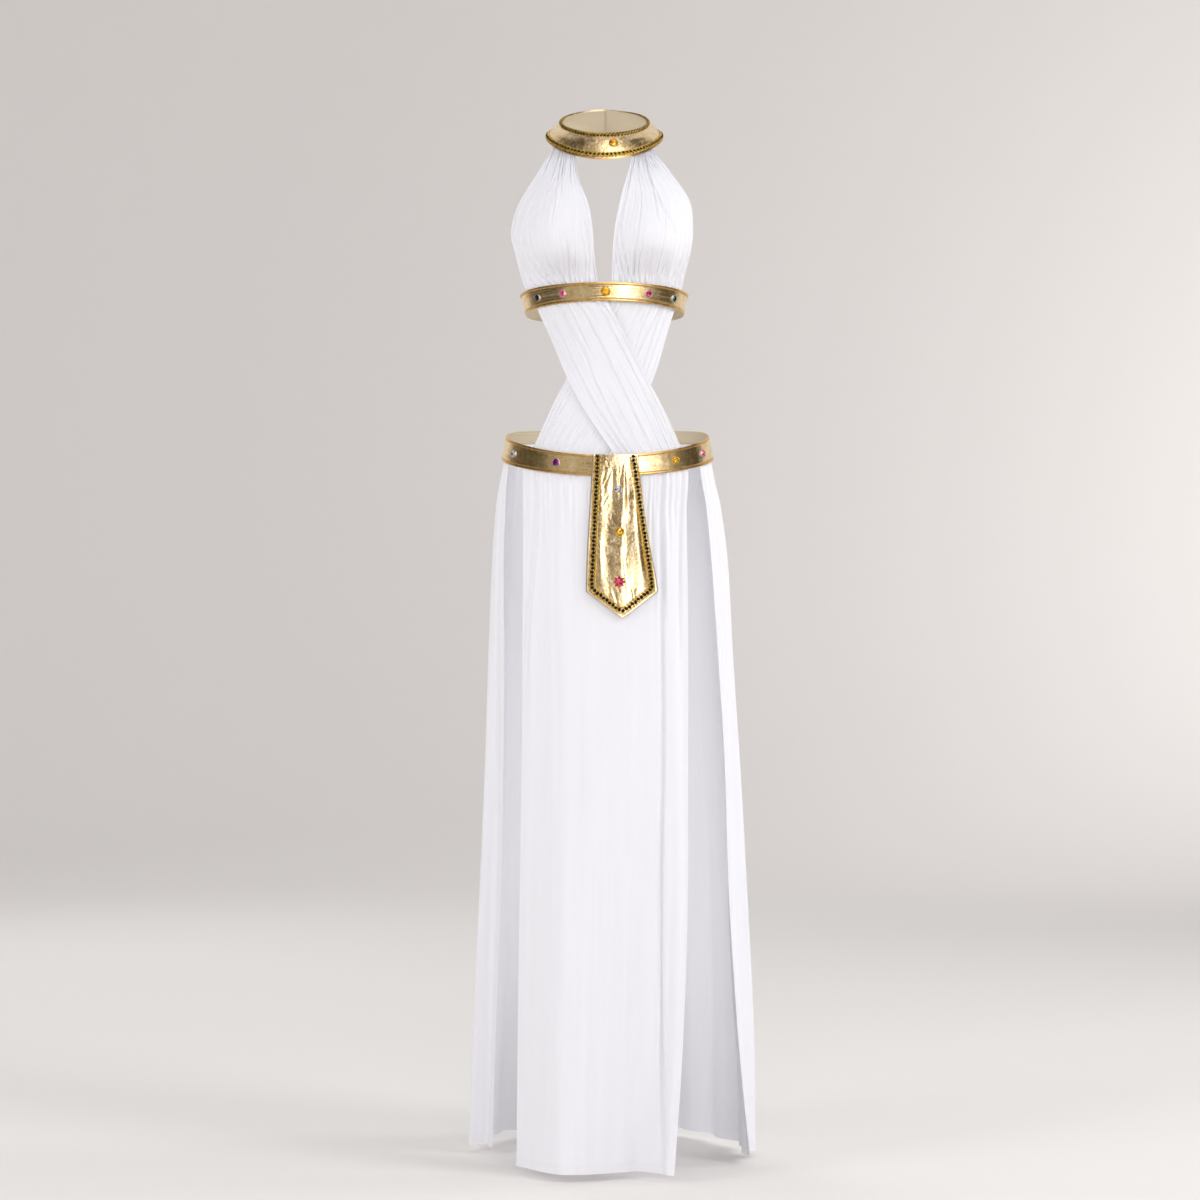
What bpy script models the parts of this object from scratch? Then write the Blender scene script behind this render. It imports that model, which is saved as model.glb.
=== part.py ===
"""Halter costume of white jersey and gold foil cloth, hollow, in the pose in which it is worn.

Metres, +Z up, front towards -Y. The origin is the centre of the neck opening.
"""

import math
from collections import namedtuple

import bmesh
import bpy
from mathutils import Vector

# Walls and the clearances between layers, each measured outwards from the figure form.
JERSEY_WALL = 0.0012
SKIRT_WALL = 0.0015
FOIL_WALL = 0.0016
SEAM_GAP = 0.0004
TRIM_GAP = 0.0006
TUCK_GAP = 0.0019
STRAP_UNDER_OFFSET = 0.0010
CUP_OFFSET = 0.0032
STRAP_OVER_OFFSET = 0.0042
SKIRT_OFFSET = 0.0030
TRIM_OFFSET = 0.0069

# Gathers and pleats: how many, and how far their crests stand out where they are sewn down.
CUP_GATHERS = 14
STRAP_PLEATS = 8
FRONT_GATHERS = 16
BACK_GATHERS = 28
BACK_FOLDS = 12
GATHER_DEPTH = 0.0015
PLEAT_DEPTH = 0.0007
COLUMNS_PER_GATHER = 3

# The three lapped trims are drawn in steps of this angle, and close at the centre back.
TRIM_STEPS = 60
LAP_STEPS = 3

HEM_HEIGHT = -1.478

# The hollow figure form that the cloth lies on: an oval section at each height.
Section = namedtuple("Section", "height half_width front back centre")
FORM = (
    Section(-0.050, 0.100, 0.084, 0.082, 0.0000),
    Section(-0.100, 0.126, 0.094, 0.094, 0.0000),
    Section(-0.160, 0.134, 0.100, 0.098, 0.0000),
    Section(-0.210, 0.127, 0.100, 0.094, 0.0000),
    Section(-0.260, 0.1095, 0.097, 0.085, -0.0004),
    Section(-0.300, 0.102, 0.094, 0.080, 0.0015),
    Section(-0.336, 0.098, 0.092, 0.079, 0.0026),
    Section(-0.380, 0.110, 0.095, 0.088, 0.0030),
    Section(-0.420, 0.127, 0.100, 0.100, 0.0036),
    Section(-0.466, 0.140, 0.104, 0.112, 0.0043),
    Section(-0.510, 0.146, 0.106, 0.119, 0.0043),
    Section(-0.560, 0.150, 0.108, 0.122, 0.0043),
)

# The rounded fullness of each cup over that form.
CUP_CENTRE_X = 0.066
CUP_CENTRE_HEIGHT = -0.183
CUP_DEPTH = 0.036
CUP_SPREAD = 0.25
CUP_REACH_SIDE = 0.078
CUP_REACH_UP = 0.120
CUP_REACH_DOWN = 0.056

# Heights of the trims' edges at the centre front, at the side and at the centre back.
Edge = namedtuple("Edge", "front side back")
BAND_TOP = Edge(-0.242, -0.251, -0.258)
BAND_BOTTOM = Edge(-0.268, -0.279, -0.284)
BELT_TOP = Edge(-0.484, -0.450, -0.440)
BELT_BOTTOM = Edge(-0.513, -0.485, -0.473)

# The collar is a shaped band from the neck edge down and out over the shoulders.
Ring = namedtuple("Ring", "half_width front back height")
COLLAR_TOP = Ring(0.0590, 0.0600, 0.0550, Edge(-0.0275, -0.0030, 0.0220))
COLLAR_BOTTOM = Ring(0.0830, 0.0875, 0.0760, Edge(-0.0685, -0.0265, -0.0080))
COLLAR_BOW = 0.0025

# Sections across each cup: its inner edge is at the keyhole, its outer edge at the armhole.
# The first two lie behind the collar, at that share of its width and at that angle.
Tuck = namedtuple("Tuck", "down share inner_angle outer_angle")
Cup = namedtuple("Cup", "down inner_x inner_height outer_x outer_height")
LEFT_TUCKS = (Tuck(0.000, 0.74, -31, -64), Tuck(0.050, 1.00, -31, -64))
LEFT_CUP = (
    Cup(0.240, -0.0358, -0.0988, -0.0909, -0.0803),
    Cup(0.420, -0.0241, -0.1298, -0.1195, -0.1274),
    Cup(0.580, -0.0179, -0.1627, -0.1305, -0.1650),
    Cup(0.740, -0.0153, -0.1991, -0.1240, -0.1965),
    Cup(0.890, -0.0115, -0.2290, -0.1150, -0.2330),
    Cup(0.950, -0.0095, -0.2410, -0.1095, -0.2475),
    Cup(1.000, -0.0080, -0.2510, -0.1040, -0.2590),
)
RIGHT_TUCKS = (Tuck(0.000, 0.74, 29, 57), Tuck(0.050, 1.00, 29, 57))
RIGHT_CUP = (
    Cup(0.240, 0.0310, -0.0940, 0.0870, -0.0777),
    Cup(0.420, 0.0220, -0.1280, 0.1182, -0.1216),
    Cup(0.580, 0.0150, -0.1650, 0.1222, -0.1600),
    Cup(0.740, 0.0120, -0.1960, 0.1185, -0.1918),
    Cup(0.890, 0.0100, -0.2290, 0.1118, -0.2290),
    Cup(0.950, 0.0097, -0.2410, 0.1080, -0.2475),
    Cup(1.000, 0.0096, -0.2510, 0.1040, -0.2590),
)

# Sections across each crossed strap, from behind the band down to behind the belt.
Strap = namedtuple("Strap", "down left_x left_height right_x right_height")
STRAP_OVER = (
    Strap(0.000, -0.0975, -0.2655, -0.0030, -0.2575),
    Strap(0.055, -0.0911, -0.2810, 0.0055, -0.2712),
    Strap(0.230, -0.0747, -0.3181, 0.0282, -0.3141),
    Strap(0.480, -0.0531, -0.3720, 0.0530, -0.3640),
    Strap(0.700, -0.0300, -0.4170, 0.0760, -0.4060),
    Strap(0.870, -0.0060, -0.4540, 0.0930, -0.4410),
    Strap(1.000, 0.0210, -0.4940, 0.1090, -0.4780),
)
STRAP_UNDER = (
    Strap(0.000, -0.0030, -0.2575, 0.1010, -0.2655),
    Strap(0.055, -0.0050, -0.2712, 0.0959, -0.2810),
    Strap(0.230, -0.0260, -0.3141, 0.0856, -0.3160),
    Strap(0.480, -0.0500, -0.3700, 0.0671, -0.3777),
    Strap(0.700, -0.0690, -0.4060, 0.0450, -0.4200),
    Strap(0.870, -0.0850, -0.4410, 0.0240, -0.4560),
    Strap(1.000, -0.1030, -0.4780, 0.0000, -0.4950),
)

# The front panel: where its two edges and the cloth between them hang at each height.
Front = namedtuple(
    "Front", "height left_x left_y left_mid_y middle_y right_mid_y right_x right_y"
)
FRONT_PANEL = (
    Front(-0.480, -0.1120, -0.0700, -0.0990, -0.1070, -0.0985, 0.1150, -0.0690),
    Front(-0.560, -0.1135, -0.0740, -0.1040, -0.1130, -0.1040, 0.1145, -0.0730),
    Front(-0.720, -0.1140, -0.0800, -0.1120, -0.1220, -0.1130, 0.1165, -0.0820),
    Front(-0.910, -0.1152, -0.0860, -0.1240, -0.1340, -0.1260, 0.1160, -0.1000),
    Front(-1.120, -0.1182, -0.0900, -0.1380, -0.1460, -0.1360, 0.1149, -0.1250),
    Front(-1.300, -0.1205, -0.0920, -0.1490, -0.1530, -0.1400, 0.1089, -0.1500),
    Front(-1.478, -0.1222, -0.0940, -0.1580, -0.1580, -0.1350, 0.0995, -0.1720),
)

# The back panel: slit edges, the fullest part of each side, and the centre back.
Back = namedtuple(
    "Back",
    "height left_x left_y left_side_x left_side_y back_y"
    " right_side_x right_side_y right_x right_y",
)
BACK_PANEL = (
    Back(-0.520, -0.1385, -0.0430, -0.1490, 0.0100, 0.1280, 0.1590, 0.0100, 0.1395, -0.0520),
    Back(-0.620, -0.1412, -0.0380, -0.1580, 0.0200, 0.1400, 0.1730, 0.0200, 0.1490, -0.0500),
    Back(-0.770, -0.1405, -0.0280, -0.1650, 0.0350, 0.1520, 0.1810, 0.0300, 0.1588, -0.0480),
    Back(-0.920, -0.1415, -0.0120, -0.1680, 0.0500, 0.1700, 0.1890, 0.0380, 0.1680, -0.0440),
    Back(-1.120, -0.1455, 0.0100, -0.1754, 0.0700, 0.1950, 0.1990, 0.0500, 0.1740, -0.0380),
    Back(-1.300, -0.1530, 0.0300, -0.1830, 0.0900, 0.2200, 0.2045, 0.0580, 0.1860, -0.0340),
    Back(-1.478, -0.1590, 0.0520, -0.1900, 0.1100, 0.2430, 0.2030, 0.0620, 0.2033, -0.0280),
)
BACK_LEFT_ANGLE = -71
BACK_RIGHT_ANGLE = 61

# Long soft folds: where each lies across its panel at the top and the bottom, and how far
# it stands out at the top, halfway down and at the bottom.
Fold = namedtuple("Fold", "top bottom depth_top depth_middle depth_bottom width")
FRONT_FOLDS = (
    Fold(0.080, 0.020, 0.0015, 0.0015, 0.0000, 0.030),
    Fold(0.190, 0.280, 0.0010, 0.0040, 0.0060, 0.040),
    Fold(0.360, 0.420, 0.0008, 0.0020, 0.0035, 0.035),
    Fold(0.610, 0.660, 0.0008, 0.0020, 0.0035, 0.035),
    Fold(0.830, 0.930, 0.0012, 0.0060, 0.0090, 0.040),
)
LEFT_CUP_FOLDS = (
    Fold(0.900, 0.930, 0.0000, 0.0030, 0.0000, 0.045),
    Fold(0.700, 0.780, 0.0000, 0.0018, 0.0000, 0.045),
    Fold(0.250, 0.160, 0.0000, 0.0012, 0.0000, 0.050),
)
RIGHT_CUP_FOLDS = (
    Fold(0.450, 0.720, 0.0006, 0.0022, 0.0000, 0.045),
    Fold(0.800, 0.900, 0.0006, 0.0026, 0.0000, 0.045),
    Fold(0.120, 0.100, 0.0000, 0.0012, 0.0000, 0.045),
)
BACK_FOLD_DEPTH = 0.0085

# The tabard: its edges at each height, then its point.
Tabard = namedtuple("Tabard", "height left_x right_x")
TABARD = (
    Tabard(-0.4830, -0.0166, 0.0468),
    Tabard(-0.5140, -0.0182, 0.0495),
    Tabard(-0.5730, -0.0217, 0.0568),
    Tabard(-0.6150, -0.0241, 0.0638),
    Tabard(-0.6742, -0.0258, 0.0745),
    Tabard(-0.7200, -0.0258, 0.0745),
)
TABARD_CORNER_HEIGHT = -0.6742
TABARD_TIP_HEIGHT = -0.7120
TABARD_STAND_OFF = 0.0075
TABARD_HANGS_FREE = 0.580

# Braids: ribbons with a rounded face, laid along a line on their panel.
BRAID_HEIGHT = 0.0022
COLLAR_BRAID_WIDTH = 0.0055
TABARD_BRAID_WIDTH = 0.0065
COLLAR_BRAID_LOWER_SHARE = 0.85
COLLAR_BRAID_UPPER_SHARE = 0.09
Corner = namedtuple("Corner", "x height")
TABARD_BRAID_CORNERS = (
    Corner(-0.0095, -0.4860),
    Corner(-0.0180, -0.6700),
    Corner(0.0240, -0.7030),
    Corner(0.0658, -0.6700),
    Corner(0.0395, -0.4860),
)
TABARD_BRAID_ROUNDING = 0.007

# Stones: the angle round the trim or the place on the tabard, and the radius.
Stone = namedtuple("Stone", "name angle radius colour")
COLLAR_STONE = Stone("collar_gem", 10, 0.0060, "gem_amber")
BAND_STONES = (
    Stone("band_gem_1", -52.8, 0.0048, "gem_navy"),
    Stone("band_gem_2", -29.7, 0.0053, "gem_pink"),
    Stone("band_gem_3", 0.8, 0.0065, "gem_amber"),
    Stone("band_gem_4", 31.4, 0.0050, "gem_magenta"),
    Stone("band_gem_5", 56.5, 0.0048, "gem_green"),
)
BELT_STONES = (
    Stone("belt_gem_1", -61.7, 0.0052, "gem_clear"),
    Stone("belt_gem_2", -28.3, 0.0052, "gem_purple"),
    Stone("belt_gem_3", 38.9, 0.0053, "gem_amber"),
    Stone("belt_gem_4", 63.3, 0.0052, "gem_pink"),
)
TabardStone = namedtuple("TabardStone", "name x height radius colour")
TABARD_STONES = (
    TabardStone("tabard_gem_clear", 0.0186, -0.5313, 0.0053, "gem_clear"),
    TabardStone("tabard_gem_amber", 0.0204, -0.5913, 0.0060, "gem_amber"),
)
TABARD_STAR = TabardStone("tabard_gem_star", 0.0204, -0.6612, 0.0092, "gem_red")
STONE_FACETS = 12
STAR_FACETS = 16
STAR_WAIST = 0.62
STONE_RISE = 0.55
STONE_TABLE = 0.58

Finish = namedtuple("Finish", "colour roughness metallic")
FINISHES = {
    "white_jersey": Finish((0.90, 0.89, 0.92), 0.75, 0.0),
    "gold_foil": Finish((0.62, 0.42, 0.16), 0.32, 0.9),
    "bead_braid": Finish((0.09, 0.06, 0.03), 0.35, 0.6),
    "gold_braid": Finish((0.55, 0.36, 0.13), 0.40, 0.8),
    "gem_clear": Finish((0.85, 0.88, 0.90), 0.08, 0.0),
    "gem_amber": Finish((0.80, 0.35, 0.05), 0.08, 0.0),
    "gem_navy": Finish((0.02, 0.03, 0.14), 0.08, 0.0),
    "gem_pink": Finish((0.80, 0.25, 0.42), 0.08, 0.0),
    "gem_magenta": Finish((0.50, 0.03, 0.22), 0.08, 0.0),
    "gem_green": Finish((0.02, 0.14, 0.08), 0.08, 0.0),
    "gem_purple": Finish((0.24, 0.05, 0.32), 0.08, 0.0),
    "gem_red": Finish((0.75, 0.08, 0.16), 0.08, 0.0),
}


def clear_scene():
    for obj in list(bpy.data.objects):
        bpy.data.objects.remove(obj, do_unlink=True)


def spline(knots, values, at):
    """A smooth curve through the values at rising knots, read at one place."""
    last = len(knots) - 1
    if at <= knots[0]:
        return values[0]
    if at >= knots[last]:
        return values[last]
    i = max(k for k in range(last) if knots[k] <= at)

    def slope(k):
        low = max(k - 1, 0)
        high = min(k + 1, last)
        return (values[high] - values[low]) / (knots[high] - knots[low])

    span = knots[i + 1] - knots[i]
    t = (at - knots[i]) / span
    start = (2 * t**3 - 3 * t**2 + 1) * values[i] + (t**3 - 2 * t**2 + t) * span * slope(i)
    end = (3 * t**2 - 2 * t**3) * values[i + 1] + (t**3 - t**2) * span * slope(i + 1)
    return start + end


def read(table, column, height):
    """A named column of a table whose rows go down in height."""
    knots = [-row.height for row in table]
    return spline(knots, [getattr(row, column) for row in table], -height)


def ease(start, end, at):
    t = min(max((at - start) / (end - start), 0.0), 1.0)
    return t * t * (3 - 2 * t)


def around(edge, angle):
    """The height of a trim's edge at an angle from the centre front."""
    mean = (edge.front + edge.back) / 2
    turn = (edge.front - edge.back) / 2 * math.cos(angle)
    return (mean + edge.side) / 2 + turn + (mean - edge.side) / 2 * math.cos(2 * angle)


def form_point(angle, height, offset):
    half_width = read(FORM, "half_width", height) + offset
    depth = read(FORM, "front" if math.cos(angle) > 0 else "back", height) + offset
    x = read(FORM, "centre", height) + half_width * math.sin(angle)
    return Vector((x, -depth * math.cos(angle), height))


def form_angle(x, height, offset):
    share = (x - read(FORM, "centre", height)) / (read(FORM, "half_width", height) + offset)
    return math.asin(min(max(share, -0.999), 0.999))


def cup_fullness(x, height):
    """How far a cup stands out from the form, rounded off to nothing at its reach."""
    reach = CUP_REACH_UP if height > CUP_CENTRE_HEIGHT else CUP_REACH_DOWN
    side = (abs(x) - CUP_CENTRE_X) / CUP_REACH_SIDE
    radius = math.hypot(side, (height - CUP_CENTRE_HEIGHT) / reach)
    return CUP_DEPTH * math.cos(min(radius, 1.0) * math.pi / 2) ** 2


def lap_lift(angle, wall):
    """The over end of a lapped trim rises by its wall and a gap before it meets the under end."""
    start = math.pi - 2 * math.pi * LAP_STEPS / TRIM_STEPS
    return (wall + SEAM_GAP) * ease(start, math.pi - 0.02, angle)


def trim_angle(across):
    """From the under end, just past the centre back, all round to the over end."""
    steps = across * (TRIM_STEPS + LAP_STEPS)
    return -math.pi + steps * 2 * math.pi / TRIM_STEPS


def trim_point(top, bottom, angle, share):
    height = around(top, angle) * (1 - share) + around(bottom, angle) * share
    return form_point(angle, height, TRIM_OFFSET + lap_lift(angle, FOIL_WALL))


def collar_point(angle, share, offset):
    """On the collar: share 0 is the neck edge and 1 the lower edge."""
    bow = COLLAR_BOW * math.sin(math.pi * min(share, 1.0))
    outer = offset + bow + lap_lift(angle, FOIL_WALL)

    def between(name):
        top, bottom = getattr(COLLAR_TOP, name), getattr(COLLAR_BOTTOM, name)
        return top * (1 - share) + bottom * share

    depth = between("front" if math.cos(angle) > 0 else "back")
    top, bottom = around(COLLAR_TOP.height, angle), around(COLLAR_BOTTOM.height, angle)
    height = top * (1 - share) + bottom * share
    slope = math.atan2(COLLAR_BOTTOM.half_width - COLLAR_TOP.half_width, top - bottom)
    out = outer * math.cos(slope)
    x = (between("half_width") + out) * math.sin(angle)
    return Vector((x, -(depth + out) * math.cos(angle), height + outer * math.sin(slope)))


def cup_point(tucks, rows, across, down):
    """Through the two sections behind the collar, then those over the form."""
    knots = [tuck.down for tuck in tucks] + [row.down for row in rows]
    points = []
    for tuck in tucks:
        angle = tuck.inner_angle + (tuck.outer_angle - tuck.inner_angle) * across
        inside = -(TUCK_GAP + JERSEY_WALL + GATHER_DEPTH)
        points.append(collar_point(math.radians(angle), tuck.share, inside))
    for row in rows:
        inner = form_angle(row.inner_x, row.inner_height, CUP_OFFSET)
        outer = form_angle(row.outer_x, row.outer_height, CUP_OFFSET)
        angle = inner + (outer - inner) * across
        height = row.inner_height + (row.outer_height - row.inner_height) * across
        flat = form_point(angle, height, CUP_OFFSET)
        full = cup_fullness(flat.x, height)
        points.append(flat + Vector((CUP_SPREAD * full * math.sin(angle), -full, 0.0)))
    return spline(knots, points, down)


def strap_point(rows, offset, across, down):
    knots = [row.down for row in rows]

    def column(name):
        return spline(knots, [getattr(row, name) for row in rows], down)

    left_height, right_height = column("left_height"), column("right_height")
    left = form_angle(column("left_x"), left_height, offset)
    right = form_angle(column("right_x"), right_height, offset)
    height = left_height + (right_height - left_height) * across
    return form_point(left + (right - left) * across, height, offset)


def front_depth(across, height):
    """Where the front panel hangs, as Y, before its gathers and folds."""
    names = ("left_y", "left_mid_y", "middle_y", "right_mid_y", "right_y")
    values = [read(FRONT_PANEL, name, height) for name in names]
    return spline((0.0, 0.25, 0.5, 0.75, 1.0), values, across)


def front_point(across, down):
    top_x = FRONT_PANEL[0].left_x * (1 - across) + FRONT_PANEL[0].right_x * across
    angle = form_angle(top_x, -0.49, SKIRT_OFFSET)
    top = around(BELT_TOP, angle) * 0.45 + around(BELT_BOTTOM, angle) * 0.55
    height = top + (HEM_HEIGHT - top) * down
    left, right = read(FRONT_PANEL, "left_x", height), read(FRONT_PANEL, "right_x", height)
    hung = Vector((left + (right - left) * across, front_depth(across, height), height))
    worn = form_point(angle, height, SKIRT_OFFSET)
    return worn.lerp(hung, ease(0.018, 0.07, down))


def back_point(across, down):
    left, right = math.radians(BACK_LEFT_ANGLE), math.radians(BACK_RIGHT_ANGLE)
    angle = left - (2 * math.pi + left - right) * across
    top = around(BELT_TOP, angle) * 0.45 + around(BELT_BOTTOM, angle) * 0.55
    height = top + (HEM_HEIGHT - top) * down

    def column(name):
        return read(BACK_PANEL, name, height)

    side_y = (column("left_side_y"), column("right_side_y"))
    turn = (0.62 * column("left_side_x"), 0.62 * column("right_side_x"))
    back_y = column("back_y")
    xs = (column("left_x"), column("left_side_x"), turn[0], 0.0, turn[1])
    xs += (column("right_side_x"), column("right_x"))
    ys = (column("left_y"), side_y[0], back_y - 0.22 * (back_y - side_y[0]), back_y)
    ys += (back_y - 0.22 * (back_y - side_y[1]), side_y[1], column("right_y"))
    knots = (0.0, 0.12, 0.30, 0.50, 0.70, 0.88, 1.0)
    hung = Vector((spline(knots, xs, across), spline(knots, ys, across), height))
    worn = form_point(angle, height, SKIRT_OFFSET)
    return worn.lerp(hung, ease(0.018, 0.08, down))


def tabard_point(across, down):
    point_drop = (TABARD_CORNER_HEIGHT - TABARD_TIP_HEIGHT) * (1 - abs(2 * across - 1))
    top = TABARD[0].height
    height = top + (TABARD_CORNER_HEIGHT - point_drop - top) * down
    left, right = read(TABARD, "left_x", height), read(TABARD, "right_x", height)
    return tabard_at(left + (right - left) * across, height, 0.0)


def tabard_at(x, height, out):
    """On the tabard's inner face, at a place seen from the front: over the belt, then hanging."""
    on_belt = TRIM_OFFSET + FOIL_WALL + TRIM_GAP
    belt_height = max(height, BELT_BOTTOM.front)
    over = form_point(form_angle(x, belt_height, on_belt), belt_height, on_belt).y
    left, right = read(FRONT_PANEL, "left_x", height), read(FRONT_PANEL, "right_x", height)
    hanging = front_depth((x - left) / (right - left), height) - TABARD_STAND_OFF
    depth = over + (hanging - over) * ease(-BELT_BOTTOM.front, TABARD_HANGS_FREE, -height)
    at = Vector((x, depth, height))
    return at + tabard_out(x, height) * out if out else at


def tabard_out(x, height):
    step = 1e-4
    along = tabard_at(x + step, height, 0) - tabard_at(x - step, height, 0)
    fall = tabard_at(x, height - step, 0) - tabard_at(x, height + step, 0)
    return fall.cross(along).normalized()


def gathers(across, count, depth):
    return depth * math.cos(2 * math.pi * count * across)


def folds(table, across, down):
    """The sum of the long folds at one place on a panel."""
    total = 0.0
    for fold in table:
        centre = fold.top + (fold.bottom - fold.top) * down
        depths = (fold.depth_top, fold.depth_middle, fold.depth_bottom)
        depth = spline((0.0, 0.5, 1.0), depths, down)
        total += depth * math.exp(-(((across - centre) / fold.width) ** 2))
    return total * ease(0.03, 0.12, down)


def cup_relief(table, across, down):
    sewn = 1 - ease(0.02, 0.30, down) + ease(0.66, 0.98, down)
    return gathers(across, CUP_GATHERS, GATHER_DEPTH * (0.15 + 0.85 * sewn)) + folds(
        table, across, down
    )


def strap_relief(across, down):
    return gathers(across, STRAP_PLEATS, PLEAT_DEPTH)


def front_relief(across, down):
    fine = GATHER_DEPTH * (1 - 0.9 * ease(0.02, 0.22, down))
    return gathers(across, FRONT_GATHERS, fine) + folds(FRONT_FOLDS, across, down)


def back_relief(across, down):
    fine = GATHER_DEPTH * (1 - ease(0.02, 0.20, down))
    uneven = 0.72 + 0.28 * math.sin(2 * math.pi * 2.3 * across + 0.6)
    edges = ease(0.0, 0.05, across) * (1 - ease(0.95, 1.0, across))
    long = BACK_FOLD_DEPTH * ease(0.04, 0.9, down) * uneven * (0.25 + 0.75 * edges)
    return gathers(across, BACK_GATHERS, fine) + gathers(across, BACK_FOLDS, long)


def finish(name):
    found = bpy.data.materials.get(name)
    if found:
        return found
    made = bpy.data.materials.new(name)
    made.use_nodes = True
    shader = made.node_tree.nodes["Principled BSDF"]
    shader.inputs["Base Color"].default_value = (*FINISHES[name].colour, 1.0)
    shader.inputs["Roughness"].default_value = FINISHES[name].roughness
    shader.inputs["Metallic"].default_value = FINISHES[name].metallic
    return made


def place(name, mesh_data, material, smooth):
    bm = bmesh.new()
    bm.from_mesh(mesh_data)
    bmesh.ops.recalc_face_normals(bm, faces=bm.faces)
    for face in bm.faces:
        face.smooth = smooth
    bm.to_mesh(mesh_data)
    bm.free()
    obj = bpy.data.objects.new(name, mesh_data)
    mesh_data.materials.append(finish(material))
    COSTUME.objects.link(obj)
    return obj


def sheet(name, point, columns, rows, wall, material, relief=None, uneven=0.0, crowd=1.0):
    """Cloth: an open loft through point(across, down), with its relief, then a solid wall.

    Crowd above 1 draws the rows together at the top, and uneven shifts the columns."""

    def across_at(share):
        return share + uneven * math.sin(2 * math.pi * 3 * share + 0.8) * share * (1 - share)

    step = 1e-4
    grid = []
    for r in range(rows + 1):
        down = (r / rows) ** crowd
        line = []
        for c in range(columns + 1):
            share = c / columns
            across = across_at(share)
            at = point(across, down)
            if relief:
                along = point(min(across + step, 1), down) - point(max(across - step, 0), down)
                fall = point(across, min(down + step, 1)) - point(across, max(down - step, 0))
                out = fall.cross(along).normalized()
                centre = Vector((0.0, 0.0, at.z))
                if out.dot(at - centre) < 0:
                    out.negate()
                at = at + out * relief(share, down)
            line.append(at)
        grid.append(line)

    bm = bmesh.new()
    verts = [[bm.verts.new(at) for at in line] for line in grid]
    for r in range(rows):
        for c in range(columns):
            loop = (verts[r][c], verts[r + 1][c], verts[r + 1][c + 1], verts[r][c + 1])
            bm.faces.new(loop)
    bm.normal_update()
    middle = bm.faces[:][len(bm.faces) // 2]
    outward = middle.calc_center_median()
    outward.z = 0.0
    if middle.normal.dot(outward) < 0:
        bmesh.ops.reverse_faces(bm, faces=bm.faces[:])
    for face in bm.faces:
        face.smooth = True
    data = bpy.data.meshes.new(name)
    bm.to_mesh(data)
    bm.free()
    obj = bpy.data.objects.new(name, data)
    data.materials.append(finish(material))
    COSTUME.objects.link(obj)
    wall_of = obj.modifiers.new("Wall", "SOLIDIFY")
    wall_of.thickness = wall
    wall_of.offset = 1.0
    wall_of.use_rim = True
    return obj


def ribbon(name, line, width, height, material):
    """A braid: a rounded section carried along (point, outward) pairs."""
    profile = ((-0.5, 0.0), (-0.3, 0.9), (0.3, 0.9), (0.5, 0.0))
    bm = bmesh.new()
    rings = []
    for i, (at, out) in enumerate(line):
        ahead = line[min(i + 1, len(line) - 1)][0] - line[max(i - 1, 0)][0]
        side = out.cross(ahead).normalized()
        ring = [bm.verts.new(at + side * width * s + out * height * h) for s, h in profile]
        rings.append(ring)
    count = len(profile)
    for first, second in zip(rings, rings[1:]):
        for k in range(count):
            n = (k + 1) % count
            bm.faces.new((first[k], first[n], second[n], second[k]))
    bm.faces.new(rings[0])
    bm.faces.new(rings[-1])
    data = bpy.data.meshes.new(name)
    bm.to_mesh(data)
    bm.free()
    return place(name, data, material, True)


def stone(name, at, out, radius, material, sides=STONE_FACETS, waist=1.0):
    """A cut stone: a low frustum with its flat back on the panel; a waist under 1 makes a star."""
    rise = radius * STONE_RISE
    bm = bmesh.new()
    bmesh.ops.create_cone(
        bm,
        cap_ends=True,
        segments=sides,
        radius1=radius,
        radius2=radius * STONE_TABLE,
        depth=rise,
    )
    for vert in bm.verts:
        vert.co.z += rise / 2
        turn = math.atan2(vert.co.y, vert.co.x) * sides / (2 * math.pi)
        if waist < 1 and round(turn) % 2:
            vert.co.x *= waist
            vert.co.y *= waist
    data = bpy.data.meshes.new(name)
    bm.to_mesh(data)
    bm.free()
    obj = place(name, data, material, False)
    obj.location = at + out * SEAM_GAP
    obj.rotation_mode = "QUATERNION"
    obj.rotation_quaternion = out.to_track_quat("Z", "Y")
    return obj


def outward_at(point, across, down):
    """The way out of a surface, from two short steps on it."""
    step = 1e-4
    along = point(across + step, down) - point(across - step, down)
    fall = point(across, down + step) - point(across, down - step)
    out = fall.cross(along).normalized()
    return out if out.dot(Vector((*point(across, down).xy, 0.0))) > 0 else -out


def band_surface(angle, share):
    return trim_point(BAND_TOP, BAND_BOTTOM, angle, share)


def belt_surface(angle, share):
    return trim_point(BELT_TOP, BELT_BOTTOM, angle, share)


def collar_surface(angle, share):
    return collar_point(angle, share, 0.0)


def build_trims():
    columns = TRIM_STEPS + LAP_STEPS
    sheet(
        "collar",
        lambda across, down: collar_surface(trim_angle(across), down),
        columns,
        3,
        FOIL_WALL,
        "gold_foil",
    )
    sheet(
        "bust_band",
        lambda across, down: band_surface(trim_angle(across), down),
        columns,
        2,
        FOIL_WALL,
        "gold_foil",
    )
    sheet(
        "hip_belt",
        lambda across, down: belt_surface(trim_angle(across), down),
        columns,
        2,
        FOIL_WALL,
        "gold_foil",
    )


def build_cups():
    cups = (
        ("cup_left", LEFT_TUCKS, LEFT_CUP, LEFT_CUP_FOLDS),
        ("cup_right", RIGHT_TUCKS, RIGHT_CUP, RIGHT_CUP_FOLDS),
    )
    for name, tucks, rows, table in cups:
        sheet(
            name,
            lambda across, down, t=tucks, r=rows: cup_point(t, r, across, down),
            CUP_GATHERS * COLUMNS_PER_GATHER,
            11,
            JERSEY_WALL,
            "white_jersey",
            relief=lambda across, down, t=table: cup_relief(t, across, down),
            uneven=0.05,
        )


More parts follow.
